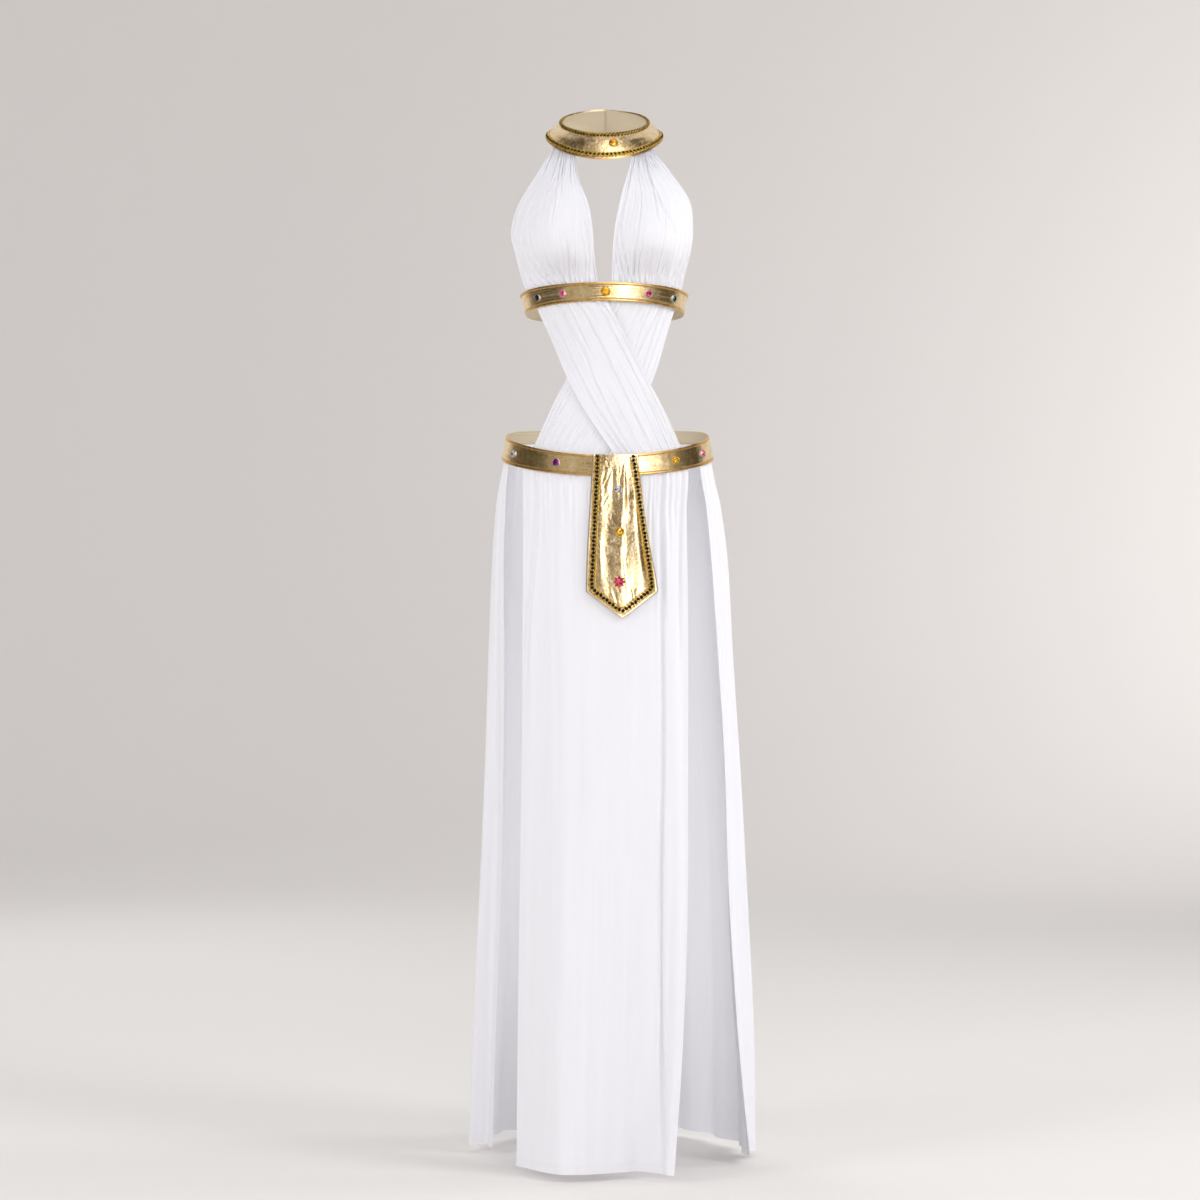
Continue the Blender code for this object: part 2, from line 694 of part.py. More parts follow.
def build_straps():
    straps = (
        ("strap_under", STRAP_UNDER, STRAP_UNDER_OFFSET),
        ("strap_over", STRAP_OVER, STRAP_OVER_OFFSET),
    )
    for name, rows, offset in straps:
        sheet(
            name,
            lambda across, down, r=rows, o=offset: strap_point(r, o, across, down),
            STRAP_PLEATS * COLUMNS_PER_GATHER,
            8,
            JERSEY_WALL,
            "white_jersey",
            relief=strap_relief,
            uneven=0.04,
        )


def build_skirt():
    sheet(
        "skirt_front",
        front_point,
        FRONT_GATHERS * COLUMNS_PER_GATHER,
        12,
        SKIRT_WALL,
        "white_jersey",
        relief=front_relief,
        uneven=0.04,
        crowd=1.6,
    )
    sheet(
        "skirt_back",
        back_point,
        BACK_GATHERS * COLUMNS_PER_GATHER,
        10,
        SKIRT_WALL,
        "white_jersey",
        relief=back_relief,
        uneven=0.05,
        crowd=1.6,
    )


def build_tabard():
    sheet("tabard", tabard_point, 12, 9, JERSEY_WALL, "gold_foil")
    line = []
    corners = [Vector((corner.x, corner.height)) for corner in TABARD_BRAID_CORNERS]
    flat = [corners[0]]
    for before, corner, after in zip(corners, corners[1:], corners[2:]):
        start = corner + (before - corner).normalized() * TABARD_BRAID_ROUNDING
        end = corner + (after - corner).normalized() * TABARD_BRAID_ROUNDING
        for share in (0.0, 0.25, 0.5, 0.75, 1.0):
            first, second = start.lerp(corner, share), corner.lerp(end, share)
            flat.append(first.lerp(second, share))
    flat.append(corners[-1])
    for first, second in zip(flat, flat[1:]):
        pieces = max(1, round((second - first).length / 0.02))
        line += [first.lerp(second, k / pieces) for k in range(pieces)]
    line.append(flat[-1])
    lift = JERSEY_WALL + TRIM_GAP
    path = [(tabard_at(*spot, lift), tabard_out(*spot)) for spot in line]
    ribbon("tabard_braid", path, TABARD_BRAID_WIDTH, BRAID_HEIGHT, "bead_braid")
    seat = JERSEY_WALL + TRIM_GAP - SEAM_GAP
    for gem in TABARD_STONES:
        at, out = tabard_at(gem.x, gem.height, seat), tabard_out(gem.x, gem.height)
        stone(gem.name, at, out, gem.radius, gem.colour)
    star = TABARD_STAR
    at, out = tabard_at(star.x, star.height, seat), tabard_out(star.x, star.height)
    stone(star.name, at, out, star.radius, star.colour, sides=STAR_FACETS, waist=STAR_WAIST)


def build_collar_trims():
    braids = (
        ("collar_braid_lower", COLLAR_BRAID_LOWER_SHARE, "bead_braid"),
        ("collar_braid_upper", COLLAR_BRAID_UPPER_SHARE, "gold_braid"),
    )
    start = -math.pi + 2 * math.pi * (LAP_STEPS + 0.6) / TRIM_STEPS
    end = math.pi + 2 * math.pi * (LAP_STEPS - 0.4) / TRIM_STEPS
    count = 56
    for name, share, material in braids:
        path = []
        for k in range(count + 1):
            angle = start + (end - start) * k / count
            out = outward_at(collar_surface, angle, share)
            path.append((collar_surface(angle, share) + out * (FOIL_WALL + TRIM_GAP), out))
        ribbon(name, path, COLLAR_BRAID_WIDTH, BRAID_HEIGHT, material)


def build_stones():
    rows = (
        (collar_surface, (COLLAR_STONE,), 0.44),
        (band_surface, BAND_STONES, 0.5),
        (belt_surface, BELT_STONES, 0.5),
    )
    for surface, stones, share in rows:
        for gem in stones:
            angle = math.radians(gem.angle)
            out = outward_at(surface, angle, share)
            at = surface(angle, share) + out * FOIL_WALL
            stone(gem.name, at, out, gem.radius, gem.colour)


clear_scene()
COSTUME = bpy.data.collections.new("egyptian_queen_costume")
bpy.context.scene.collection.children.link(COSTUME)
build_trims()
build_collar_trims()
build_cups()
build_straps()
build_skirt()
build_tabard()
build_stones()
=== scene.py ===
"""Halter costume of white jersey and gold foil cloth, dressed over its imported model."""

import math
import random
from collections import namedtuple

import bpy
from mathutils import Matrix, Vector, noise


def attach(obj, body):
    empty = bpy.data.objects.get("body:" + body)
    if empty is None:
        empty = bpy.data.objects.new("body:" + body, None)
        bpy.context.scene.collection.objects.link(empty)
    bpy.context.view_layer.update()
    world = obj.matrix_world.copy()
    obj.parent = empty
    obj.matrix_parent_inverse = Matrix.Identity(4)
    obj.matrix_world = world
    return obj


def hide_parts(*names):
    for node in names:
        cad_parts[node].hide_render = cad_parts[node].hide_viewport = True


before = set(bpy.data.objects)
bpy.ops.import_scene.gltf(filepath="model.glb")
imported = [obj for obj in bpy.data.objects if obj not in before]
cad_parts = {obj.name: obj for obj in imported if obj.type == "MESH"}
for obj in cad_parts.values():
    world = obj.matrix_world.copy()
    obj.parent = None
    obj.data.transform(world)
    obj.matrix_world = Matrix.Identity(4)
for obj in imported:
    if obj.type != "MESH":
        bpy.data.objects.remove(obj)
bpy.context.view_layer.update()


# Studio: pale seamless paper that curves up all round, large soft lights, and the camera
# level with the hips, straight in front.
FLOOR_HEIGHT = -1.489
PAPER_FLAT = 4.1
PAPER_BEND = 3.1
PAPER_TOP = 4.2
PAPER_SIDES = 96
BEND_STEPS = 20
CAMERA_AT = (-0.00644, -4.5, -0.686)
CAMERA_LENS = 94.4
SOFT_AIR = 0.66


def node(tree, kind, **sockets):
    """A shader node whose sockets are set to values or joined to other sockets."""
    made = tree.nodes.new("ShaderNode" + kind)
    for label, value in sockets.items():
        socket = made.inputs[label.replace("_", " ")]
        if isinstance(value, bpy.types.NodeSocket):
            tree.links.new(value, socket)
        else:
            socket.default_value = value
    return made


def figure(tree, operation, *values):
    """A Math node on numbers or sockets; gives its output."""
    made = tree.nodes.new("ShaderNodeMath")
    made.operation = operation
    for socket, value in zip(made.inputs, values):
        if isinstance(value, bpy.types.NodeSocket):
            tree.links.new(value, socket)
        else:
            socket.default_value = value
    return made.outputs[0]


def finish(name, **settings):
    """A new material with its Principled shader; gives the material, its tree and the shader."""
    made = bpy.data.materials.new(name)
    made.use_nodes = True
    shader = made.node_tree.nodes["Principled BSDF"]
    for label, value in settings.items():
        shader.inputs[label.replace("_", " ")].default_value = value
    return made, made.node_tree, shader


def clouds(tree, scale, detail):
    """Soft noise over a piece, laid by its place in metres."""
    place = tree.nodes.new("ShaderNodeTexCoord")
    made = node(tree, "TexNoise", Vector=place.outputs["Object"], Scale=scale, Detail=detail)
    return made.outputs["Fac"]


def tint(tree, shader, mask, dark, light):
    """The base colour goes between two tones by a mask that changes over the surface."""
    tone = node(tree, "MixRGB", Fac=mask, Color1=(*dark, 1), Color2=(*light, 1))
    tree.links.new(tone.outputs["Color"], shader.inputs["Base Color"])


def mesh_piece(name, points, faces, finishes, slots=None, smooth=True):
    """A new mesh object; slots give the finish of each face."""
    data = bpy.data.meshes.new(name)
    data.from_pydata(points, [], faces)
    for material in finishes:
        data.materials.append(material)
    if slots:
        data.polygons.foreach_set("material_index", slots)
    data.polygons.foreach_set("use_smooth", [smooth] * len(faces))
    data.update()
    piece = bpy.data.objects.new(name, data)
    bpy.context.scene.collection.objects.link(piece)
    return piece


paper, paper_tree, paper_shader = finish("studio_paper", Roughness=0.9)
# Painted shade: the paper's colour darkens a little with distance from the centre, out over the floor
# and up the wall, with a faint random mottle on top.
paper_place = paper_tree.nodes.new("ShaderNodeTexCoord")
paper_reach = node(paper_tree, "VectorMath", Vector=paper_place.outputs["Object"])
paper_reach.operation = "LENGTH"
paper_far_shade = figure(paper_tree, "MULTIPLY_ADD", paper_reach.outputs["Value"], 0.27, -0.62)
paper_far_shade.node.use_clamp = True
paper_shade = figure(paper_tree, "MULTIPLY_ADD", clouds(paper_tree, 60.0, 0.0), 0.08, paper_far_shade)
tint(paper_tree, paper_shader, paper_shade, (0.800, 0.775, 0.752), (0.775, 0.746, 0.724))

profile = [(PAPER_FLAT * k / 8, 0.0) for k in range(1, 9)]
for k in range(1, BEND_STEPS + 1):
    turn = math.pi / 2 * k / BEND_STEPS
    profile.append(
        (PAPER_FLAT + PAPER_BEND * math.sin(turn), PAPER_BEND * (1 - math.cos(turn)))
    )
profile.append((PAPER_FLAT + PAPER_BEND, PAPER_TOP))
paper_points = [(0.0, 0.0, FLOOR_HEIGHT)]
for reach, rise in profile:
    for k in range(PAPER_SIDES):
        turn = 2 * math.pi * k / PAPER_SIDES
        paper_points.append(
            (reach * math.cos(turn), reach * math.sin(turn), FLOOR_HEIGHT + rise)
        )
paper_faces = []
for k in range(PAPER_SIDES):
    after = (k + 1) % PAPER_SIDES
    paper_faces.append((0, 1 + k, 1 + after))
    for ring in range(len(profile) - 1):
        near, far = 1 + ring * PAPER_SIDES, 1 + (ring + 1) * PAPER_SIDES
        paper_faces.append((near + k, far + k, far + after, near + after))
sweep = mesh_piece("studio_sweep", paper_points, paper_faces, [paper])
sweep.visible_glossy = False

WHITE = (1.0, 1.0, 1.0)
WARM = (1.0, 0.94, 0.88)
Softbox = namedtuple("Softbox", "name at aim width height power colour mirrored")
SOFTBOXES = (
    Softbox("key_softbox", (2.8, -1.9, 1.1), (0.0, 0.0, -0.70), 1.1, 1.6, 42, WHITE, False),
    Softbox("fill_softbox", (-3.0, -2.1, 0.4), (0.0, 0.0, -0.90), 1.4, 2.0, 39, WHITE, False),
    Softbox("side_softbox", (3.1, 0.5, 0.2), (0.2, 0.0, -1.00), 1.0, 2.0, 26, WHITE, False),
    Softbox("wall_softbox", (2.4, 4.4, 0.8), (1.7, 7.2, -0.3), 1.0, 1.4, 24, WHITE, False),
    Softbox("front_softbox", (0.3, -6.2, 1.0), (0.0, 0.0, -0.80), 2.4, 2.4, 57, WHITE, False),
    Softbox("back_softbox", (-1.6, 3.2, 1.0), (0.0, 0.0, -0.70), 1.6, 2.0, 22, WHITE, False),
    Softbox("strip_softbox", (1.35, -3.0, -0.10), (0.0, 0.0, -0.40), 0.50, 1.80, 10, WHITE, True),
    Softbox("lining_softbox", (0.0, -0.03, -0.96), (0.0, 1.0, -0.96), 0.10, 0.86, 0.32, WARM, False),
)
for light in SOFTBOXES:
    lamp = bpy.data.lights.new(light.name, "AREA")
    lamp.shape = "RECTANGLE"
    lamp.size, lamp.size_y = light.width, light.height
    lamp.energy, lamp.color = light.power, light.colour
    box = bpy.data.objects.new(light.name, lamp)
    box.location = light.at
    box.rotation_mode = "QUATERNION"
    box.rotation_quaternion = (Vector(light.aim) - Vector(light.at)).to_track_quat("-Z", "Y")
    box.visible_glossy, box.visible_diffuse = light.mirrored, not light.mirrored
    box.visible_camera = False
    bpy.context.scene.collection.objects.link(box)

studio = bpy.data.worlds.new("studio_air")
bpy.context.scene.world = studio
studio.use_nodes = True
air = studio.node_tree
air.nodes.clear()
seen_from = air.nodes.new("ShaderNodeTexCoord")
way = node(air, "SeparateXYZ", Vector=seen_from.outputs["Generated"])
turned = figure(air, "ARCTAN2", way.outputs["X"], figure(air, "MULTIPLY", way.outputs["Y"], -1.0))
way_round = figure(air, "MULTIPLY_ADD", turned, 0.5 / math.pi, 0.5)
ROOM_TONES = (
    (-180, 0.75), (-135, 0.80), (-116, 0.18), (-84, 0.07), (-62, 0.09), (-46, 0.44), (-12, 0.52),
    (6, 2.20), (42, 1.90), (58, 0.45), (78, 0.13), (104, 0.07), (122, 0.80), (180, 0.75),
)
SCREEN_TONES = (
    (-180, 0.75), (-135, 0.80), (-116, 0.20), (-84, 0.10), (-62, 0.13), (-46, 0.44), (-24, 0.60),
    (-15, 0.25), (8, 0.16), (14, 1.50), (22, 2.20), (38, 1.40), (46, 0.80), (58, 0.40),
    (78, 0.13), (104, 0.07), (122, 0.80), (180, 0.75),
)


def surroundings(tones):
    """Tones seen round the room by their direction in degrees; the dark ones are brown."""
    made = node(air, "ValToRGB", Fac=way_round)
    stops = made.color_ramp.elements
    for number, (degrees, tone) in enumerate(tones):
        spot = 0.5 + degrees / 360
        last = number == len(tones) - 1
        stop = stops[0] if number == 0 else stops[-1] if last else stops.new(spot)
        stop.position = spot
        warm = 1 - min(tone, 0.7) / 0.7
        stop.color = (tone, tone * (0.97 - 0.11 * warm), tone * (0.94 - 0.34 * warm), 1)
    return made.outputs["Color"]


above = figure(air, "MULTIPLY_ADD", way.outputs["Z"], 14.0, 0.3)
below = figure(air, "MULTIPLY_ADD", way.outputs["Z"], -6.5, 3.6)
above.node.use_clamp = below.node.use_clamp = True
screened = figure(air, "MULTIPLY", above, below)
room = node(
    air, "MixRGB", Fac=screened, Color1=surroundings(ROOM_TONES), Color2=surroundings(SCREEN_TONES)
)
low = figure(air, "MULTIPLY_ADD", way.outputs["Z"], -2.4, -0.35)
low.node.use_clamp = True
room_tone = node(
    air, "MixRGB", Fac=low, Color1=room.outputs["Color"], Color2=(0.50, 0.48, 0.46, 1)
)
reflected = node(air, "Background", Color=room_tone.outputs["Color"], Strength=1.0)
soft_air = node(air, "Background", Color=(0.985, 0.985, 1.0, 1), Strength=SOFT_AIR)
path = air.nodes.new("ShaderNodeLightPath")
mixed = air.nodes.new("ShaderNodeMixShader")
air.links.new(path.outputs["Is Glossy Ray"], mixed.inputs[0])
air.links.new(soft_air.outputs[0], mixed.inputs[1])
air.links.new(reflected.outputs[0], mixed.inputs[2])
world_out = air.nodes.new("ShaderNodeOutputWorld")
air.links.new(mixed.outputs[0], world_out.inputs["Surface"])

lens = bpy.data.cameras.new("front_camera")
lens.sensor_width = 36
lens.lens = CAMERA_LENS
lens.clip_end = 60
camera = bpy.data.objects.new("front_camera", lens)
camera.location = CAMERA_AT
camera.rotation_euler = (math.pi / 2, 0, 0)
bpy.context.scene.collection.objects.link(camera)
bpy.context.scene.camera = camera
bpy.context.scene.view_settings.view_transform = "Standard"


# Collar: a shaped band of gold foil cloth over a soft interlining, its edges turned in. It
# stands from the neck down over the shoulders and laps at the centre back.
Edge = namedtuple("Edge", "front side back")
Ring = namedtuple("Ring", "half_width front back height")
COLLAR_TOP = Ring(0.0590, 0.0600, 0.0550, Edge(-0.0275, -0.0030, 0.0220))
COLLAR_BOTTOM = Ring(0.0830, 0.0875, 0.0760, Edge(-0.0685, -0.0265, -0.0080))
COLLAR_BOW = 0.0025
COLLAR_FLAT = (0.50, 0.046)
FOIL_WALL = 0.0016
SEAM_GAP = 0.0004
TRIM_STEPS = 60
LAP_STEPS = 3
TRIM_COLUMNS = 400
FOLDED_EDGE = 0.0030
FOIL_THICK = 0.0012
COLLAR_FOLD = 0.0012
COLLAR_EDGE_SHARE = 0.035


def spline(knots, values, at):
    """A smooth curve through the values at rising knots, read at one place."""
    last = len(knots) - 1
    if at <= knots[0]:
        return values[0]
    if at >= knots[last]:
        return values[last]
    i = max(k for k in range(last) if knots[k] <= at)

    def slope(k):
        low, high = max(k - 1, 0), min(k + 1, last)
        return (values[high] - values[low]) / (knots[high] - knots[low])

    span = knots[i + 1] - knots[i]
    t = (at - knots[i]) / span
    start = (2 * t**3 - 3 * t**2 + 1) * values[i] + (t**3 - 2 * t**2 + t) * span * slope(i)
    end = (3 * t**2 - 2 * t**3) * values[i + 1] + (t**3 - t**2) * span * slope(i + 1)
    return start + end


def ease(start, end, at):
    t = min(max((at - start) / (end - start), 0.0), 1.0)
    return t * t * (3 - 2 * t)


def bump(at, centre, width):
    return math.exp(-(((at - centre) / width) ** 2))


def around(edge, angle):
    """The height of a trim's edge at an angle from the centre front."""
    mean = (edge.front + edge.back) / 2
    turn = (edge.front - edge.back) / 2 * math.cos(angle)
    return (mean + edge.side) / 2 + turn + (mean - edge.side) / 2 * math.cos(2 * angle)


def lap_lift(angle):
    """The over end of a lapped trim rises by its wall and a gap before the under end."""
    start = math.pi - 2 * math.pi * LAP_STEPS / TRIM_STEPS
    return (FOIL_WALL + SEAM_GAP) * ease(start, math.pi - 0.02, angle)


def trim_angle(across):
    """From the under end, just past the centre back, all round to the over end."""
    return -math.pi + across * (TRIM_STEPS + LAP_STEPS) * 2 * math.pi / TRIM_STEPS


def collar_point(angle, share, offset):
    """On the collar: share 0 is the neck edge and 1 the lower edge."""
    outer = offset + COLLAR_BOW * math.sin(math.pi * min(share, 1.0)) + lap_lift(angle)

    def between(name):
        top, bottom = getattr(COLLAR_TOP, name), getattr(COLLAR_BOTTOM, name)
        return top * (1 - share) + bottom * share

    depth = between("front" if math.cos(angle) > 0 else "back")
    top, bottom = around(COLLAR_TOP.height, angle), around(COLLAR_BOTTOM.height, angle)
    height = top * (1 - share) + bottom * share
    slope = math.atan2(COLLAR_BOTTOM.half_width - COLLAR_TOP.half_width, top - bottom)
    out = outer * math.cos(slope)
    x = (between("half_width") + out) * math.sin(angle)
    return Vector((x, -(depth + out) * math.cos(angle), height + outer * math.sin(slope)))


def spread(*zones):
    """Places from 0 to 1, in zones given by their end and their number of steps."""
    places, start = [0.0], 0.0
    for end, steps in zones:
        places += [start + (end - start) * k / steps for k in range(1, steps + 1)]
        start = end
    return places


def outwards(face):
    """The outward direction at every point of a grid laid round the body's axis."""
    ways = []
    rows, columns = len(face) - 1, len(face[0]) - 1
    outward = 0.0
    for r in range(rows + 1):
        line = []
        for c in range(columns + 1):
            along = face[r][min(c + 1, columns)] - face[r][max(c - 1, 0)]
            fall = face[min(r + 1, rows)][c] - face[max(r - 1, 0)][c]
            way = fall.cross(along).normalized()
            outward += way.x * face[r][c].x + way.y * face[r][c].y
            line.append(way)
        ways.append(line)
    if outward < 0:
        ways = [[-way for way in line] for line in ways]
    return ways, outward < 0


def lay(point, across, down, relief):
    """A grid on a piece's outer side: its surface, moved outwards by relief(down)(across)."""
    face = [[point(a, d) for a in across] for d in down]
    ways, _ = outwards(face)
    for line, way, d in zip(face, ways, down):
        proud = relief(d)
        for c, a in enumerate(across):
            line[c] = line[c] + way[c] * proud(a)
    return face


def sew(name, face, across, down, wall, flat, cloths, zone=None):
    """Cloth as a closed thin shell behind its outer grid, with its weave measured in metres."""
    rows, columns = len(down), len(across)
    ways, turned = outwards(face)
    points = [at for line in face for at in line]
    points += [at - way * wall for line, way in zip(face, ways) for at, way in zip(line, way)]
    behind = rows * columns
    faces, slots = [], []

    def add(loop, slot):
        faces.append(tuple(reversed(loop)) if turned else loop)
        slots.append(slot)

    for r in range(rows - 1):
        for c in range(columns - 1):
            k = r * columns + c
            loop = (k, k + columns, k + columns + 1, k + 1)
            slot = zone((across[c] + across[c + 1]) / 2, (down[r] + down[r + 1]) / 2) if zone else 0
            add(loop, slot)
            add(tuple(behind + i for i in reversed(loop)), len(cloths) - 1)
    for c in range(columns - 1):
        low = (rows - 1) * columns + c
        add((c, c + 1, behind + c + 1, behind + c), 0)
        add((low + 1, low, behind + low, behind + low + 1), 0)
    for r in range(rows - 1):
        left, right = r * columns, r * columns + columns - 1
        add((left + columns, left, behind + left, behind + left + columns), 0)
        add((right, right + columns, behind + right + columns, behind + right), 0)
    piece = mesh_piece(name, points, faces, cloths, slots)
    weave = piece.data.uv_layers.new(name="weave")
    places = [(a * flat[0], d * flat[1]) for d in down for a in across] * 2
    spots = [0] * len(piece.data.loops)
    piece.data.loops.foreach_get("vertex_index", spots)
    weave.data.foreach_set("uv", [value for spot in spots for value in places[spot]])
    piece.data.set_sharp_from_angle(angle=math.radians(62))
    return piece


def fasten(piece, slot, *nodes):
    """Puts a piece on the costume in the place of its plain solids."""
    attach(piece, "root")
    if nodes:
        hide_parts(*nodes)
    return piece


def effect(name, inputs, outputs):
    """A shader node group with named sockets; gives the group, its way in and its way out."""
    group = bpy.data.node_groups.new(name, "ShaderNodeTree")
    for label, kind, value in inputs:
        socket = group.interface.new_socket(label, in_out="INPUT", socket_type=kind)
        if value is not None:
            socket.default_value = value
    for label in outputs:
        group.interface.new_socket(label, in_out="OUTPUT", socket_type="NodeSocketFloat")
    return group, group.nodes.new("NodeGroupInput"), group.nodes.new("NodeGroupOutput")


def placed(tree, group, **sockets):
    made = tree.nodes.new("ShaderNodeGroup")
    made.node_tree = group
    for label, value in sockets.items():
        if isinstance(value, bpy.types.NodeSocket):
            tree.links.new(value, made.inputs[label])
        else:
            made.inputs[label].default_value = value
    return made


# The crushed surface of the foil cloth: a leathery grain, broad soft crumples and lines where
# it is pulled lengthwise. Four finishes share it.
foil_crush, crush_in, crush_out = effect(
    "foil_crush",
    (
        ("Cloth", "NodeSocketVector", None),
        ("Grain", "NodeSocketFloat", 300.0),
        ("Crumple", "NodeSocketFloat", 90.0),
        ("Pull", "NodeSocketFloat", 0.0),
    ),
    ("Height", "Tone"),
)
fine = node(
    foil_crush,
    "TexNoise",
    Vector=crush_in.outputs["Cloth"],
    Scale=crush_in.outputs["Grain"],
    Detail=5.0,
    Roughness=0.65,
)
broad = node(
    foil_crush,
    "TexNoise",
    Vector=crush_in.outputs["Cloth"],
    Scale=crush_in.outputs["Crumple"],
    Detail=3.0,
    Distortion=0.8,
)
crush_axes = node(foil_crush, "SeparateXYZ", Vector=crush_in.outputs["Cloth"])
crush_long = figure(foil_crush, "MULTIPLY", crush_axes.outputs["X"], 0.05)
crush_place = node(foil_crush, "CombineXYZ", X=crush_long, Y=crush_axes.outputs["Y"])
pulled = node(
    foil_crush, "TexNoise", Vector=crush_place.outputs["Vector"], Scale=330.0, Detail=3.0
)
crushed = figure(foil_crush, "MULTIPLY", fine.outputs["Fac"], 0.5)
crushed = figure(foil_crush, "MULTIPLY_ADD", broad.outputs["Fac"], 0.7, crushed)
pull = figure(foil_crush, "MULTIPLY", pulled.outputs["Fac"], crush_in.outputs["Pull"])
crushed = figure(foil_crush, "ADD", crushed, pull)
# Painted light and shade: the Tone mask lightens the foil's colour on the crests of its grain and
# crumples and darkens it in their hollows.
tone = figure(foil_crush, "ADD", fine.outputs["Fac"], broad.outputs["Fac"])
tone = figure(foil_crush, "MULTIPLY_ADD", tone, 2.4, -1.9)
tone.node.use_clamp = True
foil_crush.links.new(crushed, crush_out.inputs["Height"])
foil_crush.links.new(tone, crush_out.inputs["Tone"])


def foil_finish(name, dark, light, smooth, rough, depth, pull):
    """Metallised foil cloth: its gloss follows the crush of the surface, and its colour is painted
    lighter on the crests and darker in the hollows (painted light and shade).
    """
    made, tree, shader = finish(name, Metallic=1.0)
    weave = tree.nodes.new("ShaderNodeTexCoord")
    crush = placed(tree, foil_crush, Cloth=weave.outputs["UV"], Pull=pull)
    tint(tree, shader, crush.outputs["Tone"], dark, light)
    gloss = figure(tree, "MULTIPLY_ADD", crush.outputs["Tone"], rough - smooth, smooth)
    relief = node(tree, "Bump", Height=crush.outputs["Height"], Distance=depth)
    tree.links.new(gloss, shader.inputs["Roughness"])
    tree.links.new(relief.outputs["Normal"], shader.inputs["Normal"])
    return made


gold_foil = foil_finish(
    "gold_foil", (0.80, 0.55, 0.27), (0.99, 0.82, 0.54), 0.15, 0.30, 0.00050, 0.0
)
band_foil = foil_finish(
    "band_foil", (0.82, 0.57, 0.26), (0.98, 0.80, 0.50), 0.12, 0.23, 0.00030, 2.2
)
foil_edge = foil_finish(
    "foil_edge", (0.86, 0.48, 0.14), (0.98, 0.66, 0.28), 0.26, 0.40, 0.00030, 0.0
)
pale_foil = foil_finish(
    "pale_foil", (0.93, 0.78, 0.60), (1.00, 0.92, 0.80), 0.36, 0.48, 0.00030, 0.0
)
foil_backing, backing_tree, backing_shader = finish("foil_backing", Roughness=0.85)
backing_weave = backing_tree.nodes.new("ShaderNodeTexCoord")
backing_threads = node(
    backing_tree, "TexWave", Vector=backing_weave.outputs["UV"], Scale=260.0, Distortion=1.5
)
backing_mask = backing_threads.outputs["Fac"]
tint(backing_tree, backing_shader, backing_mask, (0.60, 0.50, 0.34), (0.72, 0.63, 0.47))


def crumple(along, fall, seed):
    """Small real wrinkles of foil cloth pulled lengthwise, at a place in metres."""
    long = noise.noise(Vector((along * 26, fall * 150, seed)))
    short = noise.noise(Vector((along * 150, fall * 240, seed + 7)))
    return 0.00042 * long + 0.00012 * short


EDGE_ROUNDING = 0.00050
TURNED_RISE = 0.00040
STITCH_PULL = 0.00045
TRIM_SEAT = 0.00035


def folded_relief(share, height, edge):
    """Across a trim: turned edges stand proud, the topstitching pulls a groove beside them."""
    near = min(share, 1 - share) * height
    rounded = -EDGE_ROUNDING * (1 - ease(0.0, 0.0010, near))
    turned = TURNED_RISE * (1 - ease(edge * 0.85, edge * 1.15, near))
    return rounded + turned - STITCH_PULL * bump(near, edge * 1.2, 0.0007) - TRIM_SEAT


TRIM_ROWS = spread(
    (0.03, 2), (0.10, 4), (0.16, 5), (0.84, 12), (0.90, 5), (0.97, 4), (1.0, 2)
)


def collar_surface(angle, share):
    return collar_point(angle, share, 0.0)


trim_columns = spread((1.0, TRIM_COLUMNS))


def collar_relief(down):
    fold = folded_relief(down, COLLAR_FLAT[1], COLLAR_FOLD)

    def proud(across):
        return FOIL_WALL + fold + crumple(across * COLLAR_FLAT[0], down * COLLAR_FLAT[1], 3.0)

    return proud


collar = sew(
    "collar_cloth",
    lay(lambda a, d: collar_surface(trim_angle(a), d), trim_columns, TRIM_ROWS, collar_relief),
    trim_columns,
    TRIM_ROWS,
    FOIL_THICK,
    COLLAR_FLAT,
    [gold_foil, foil_edge, foil_backing],
    lambda across, down: 1 if min(down, 1 - down) < COLLAR_EDGE_SHARE else 0,
)
fasten(collar, "gold_foil", "collar")


# Collar braids: dark round beads couched between two gold cords along the lower edge, and a
# two-ply twist of gold and dark cord close to the neck edge. Both are sewn on by hand.
BEAD_PITCH = 0.0059
LOWER_BRAID_SHARE = 0.85
UPPER_BRAID_SHARE = 0.09
BRAID_STEPS = 240
TWIST_PITCH = 0.0100
TWIST_STEPS = 10
TWIST_RADIUS = 0.00098
CORD_RADIUS = 0.00074
CORD_STEPS = 8
COLLAR_BRAID_REACH = 0.0032
COLLAR_BEAD = (0.0019, 0.0022, 0.0018)


def outward_at(point, across, down):
    """The way out of a surface, from two short steps on it."""
    step = 1e-4
    along = point(across + step, down) - point(across - step, down)
    fall = point(across, down + step) - point(across, down - step)
    out = fall.cross(along).normalized()
    return out if out.dot(Vector((*point(across, down).xy, 0.0))) > 0 else -out


def walk(line, pitch):
    """Even places along (point, outward) pairs: point, way ahead, way sideways, way out."""
    lengths = [0.0]
    for before, after in zip(line, line[1:]):
        lengths.append(lengths[-1] + (after[0] - before[0]).length)
    count = max(2, round(lengths[-1] / pitch))
    seats, k = [], 0
    for i in range(count + 1):
        at = lengths[-1] * i / count
        while k < len(line) - 2 and lengths[k + 1] < at:
            k += 1
        share = (at - lengths[k]) / max(lengths[k + 1] - lengths[k], 1e-9)
        ahead = (line[k + 1][0] - line[k][0]).normalized()
        out = line[k][1].lerp(line[k + 1][1], share).normalized()
        side = out.cross(ahead).normalized()
        seats.append((line[k][0].lerp(line[k + 1][0], share), ahead, side, out))
    return seats


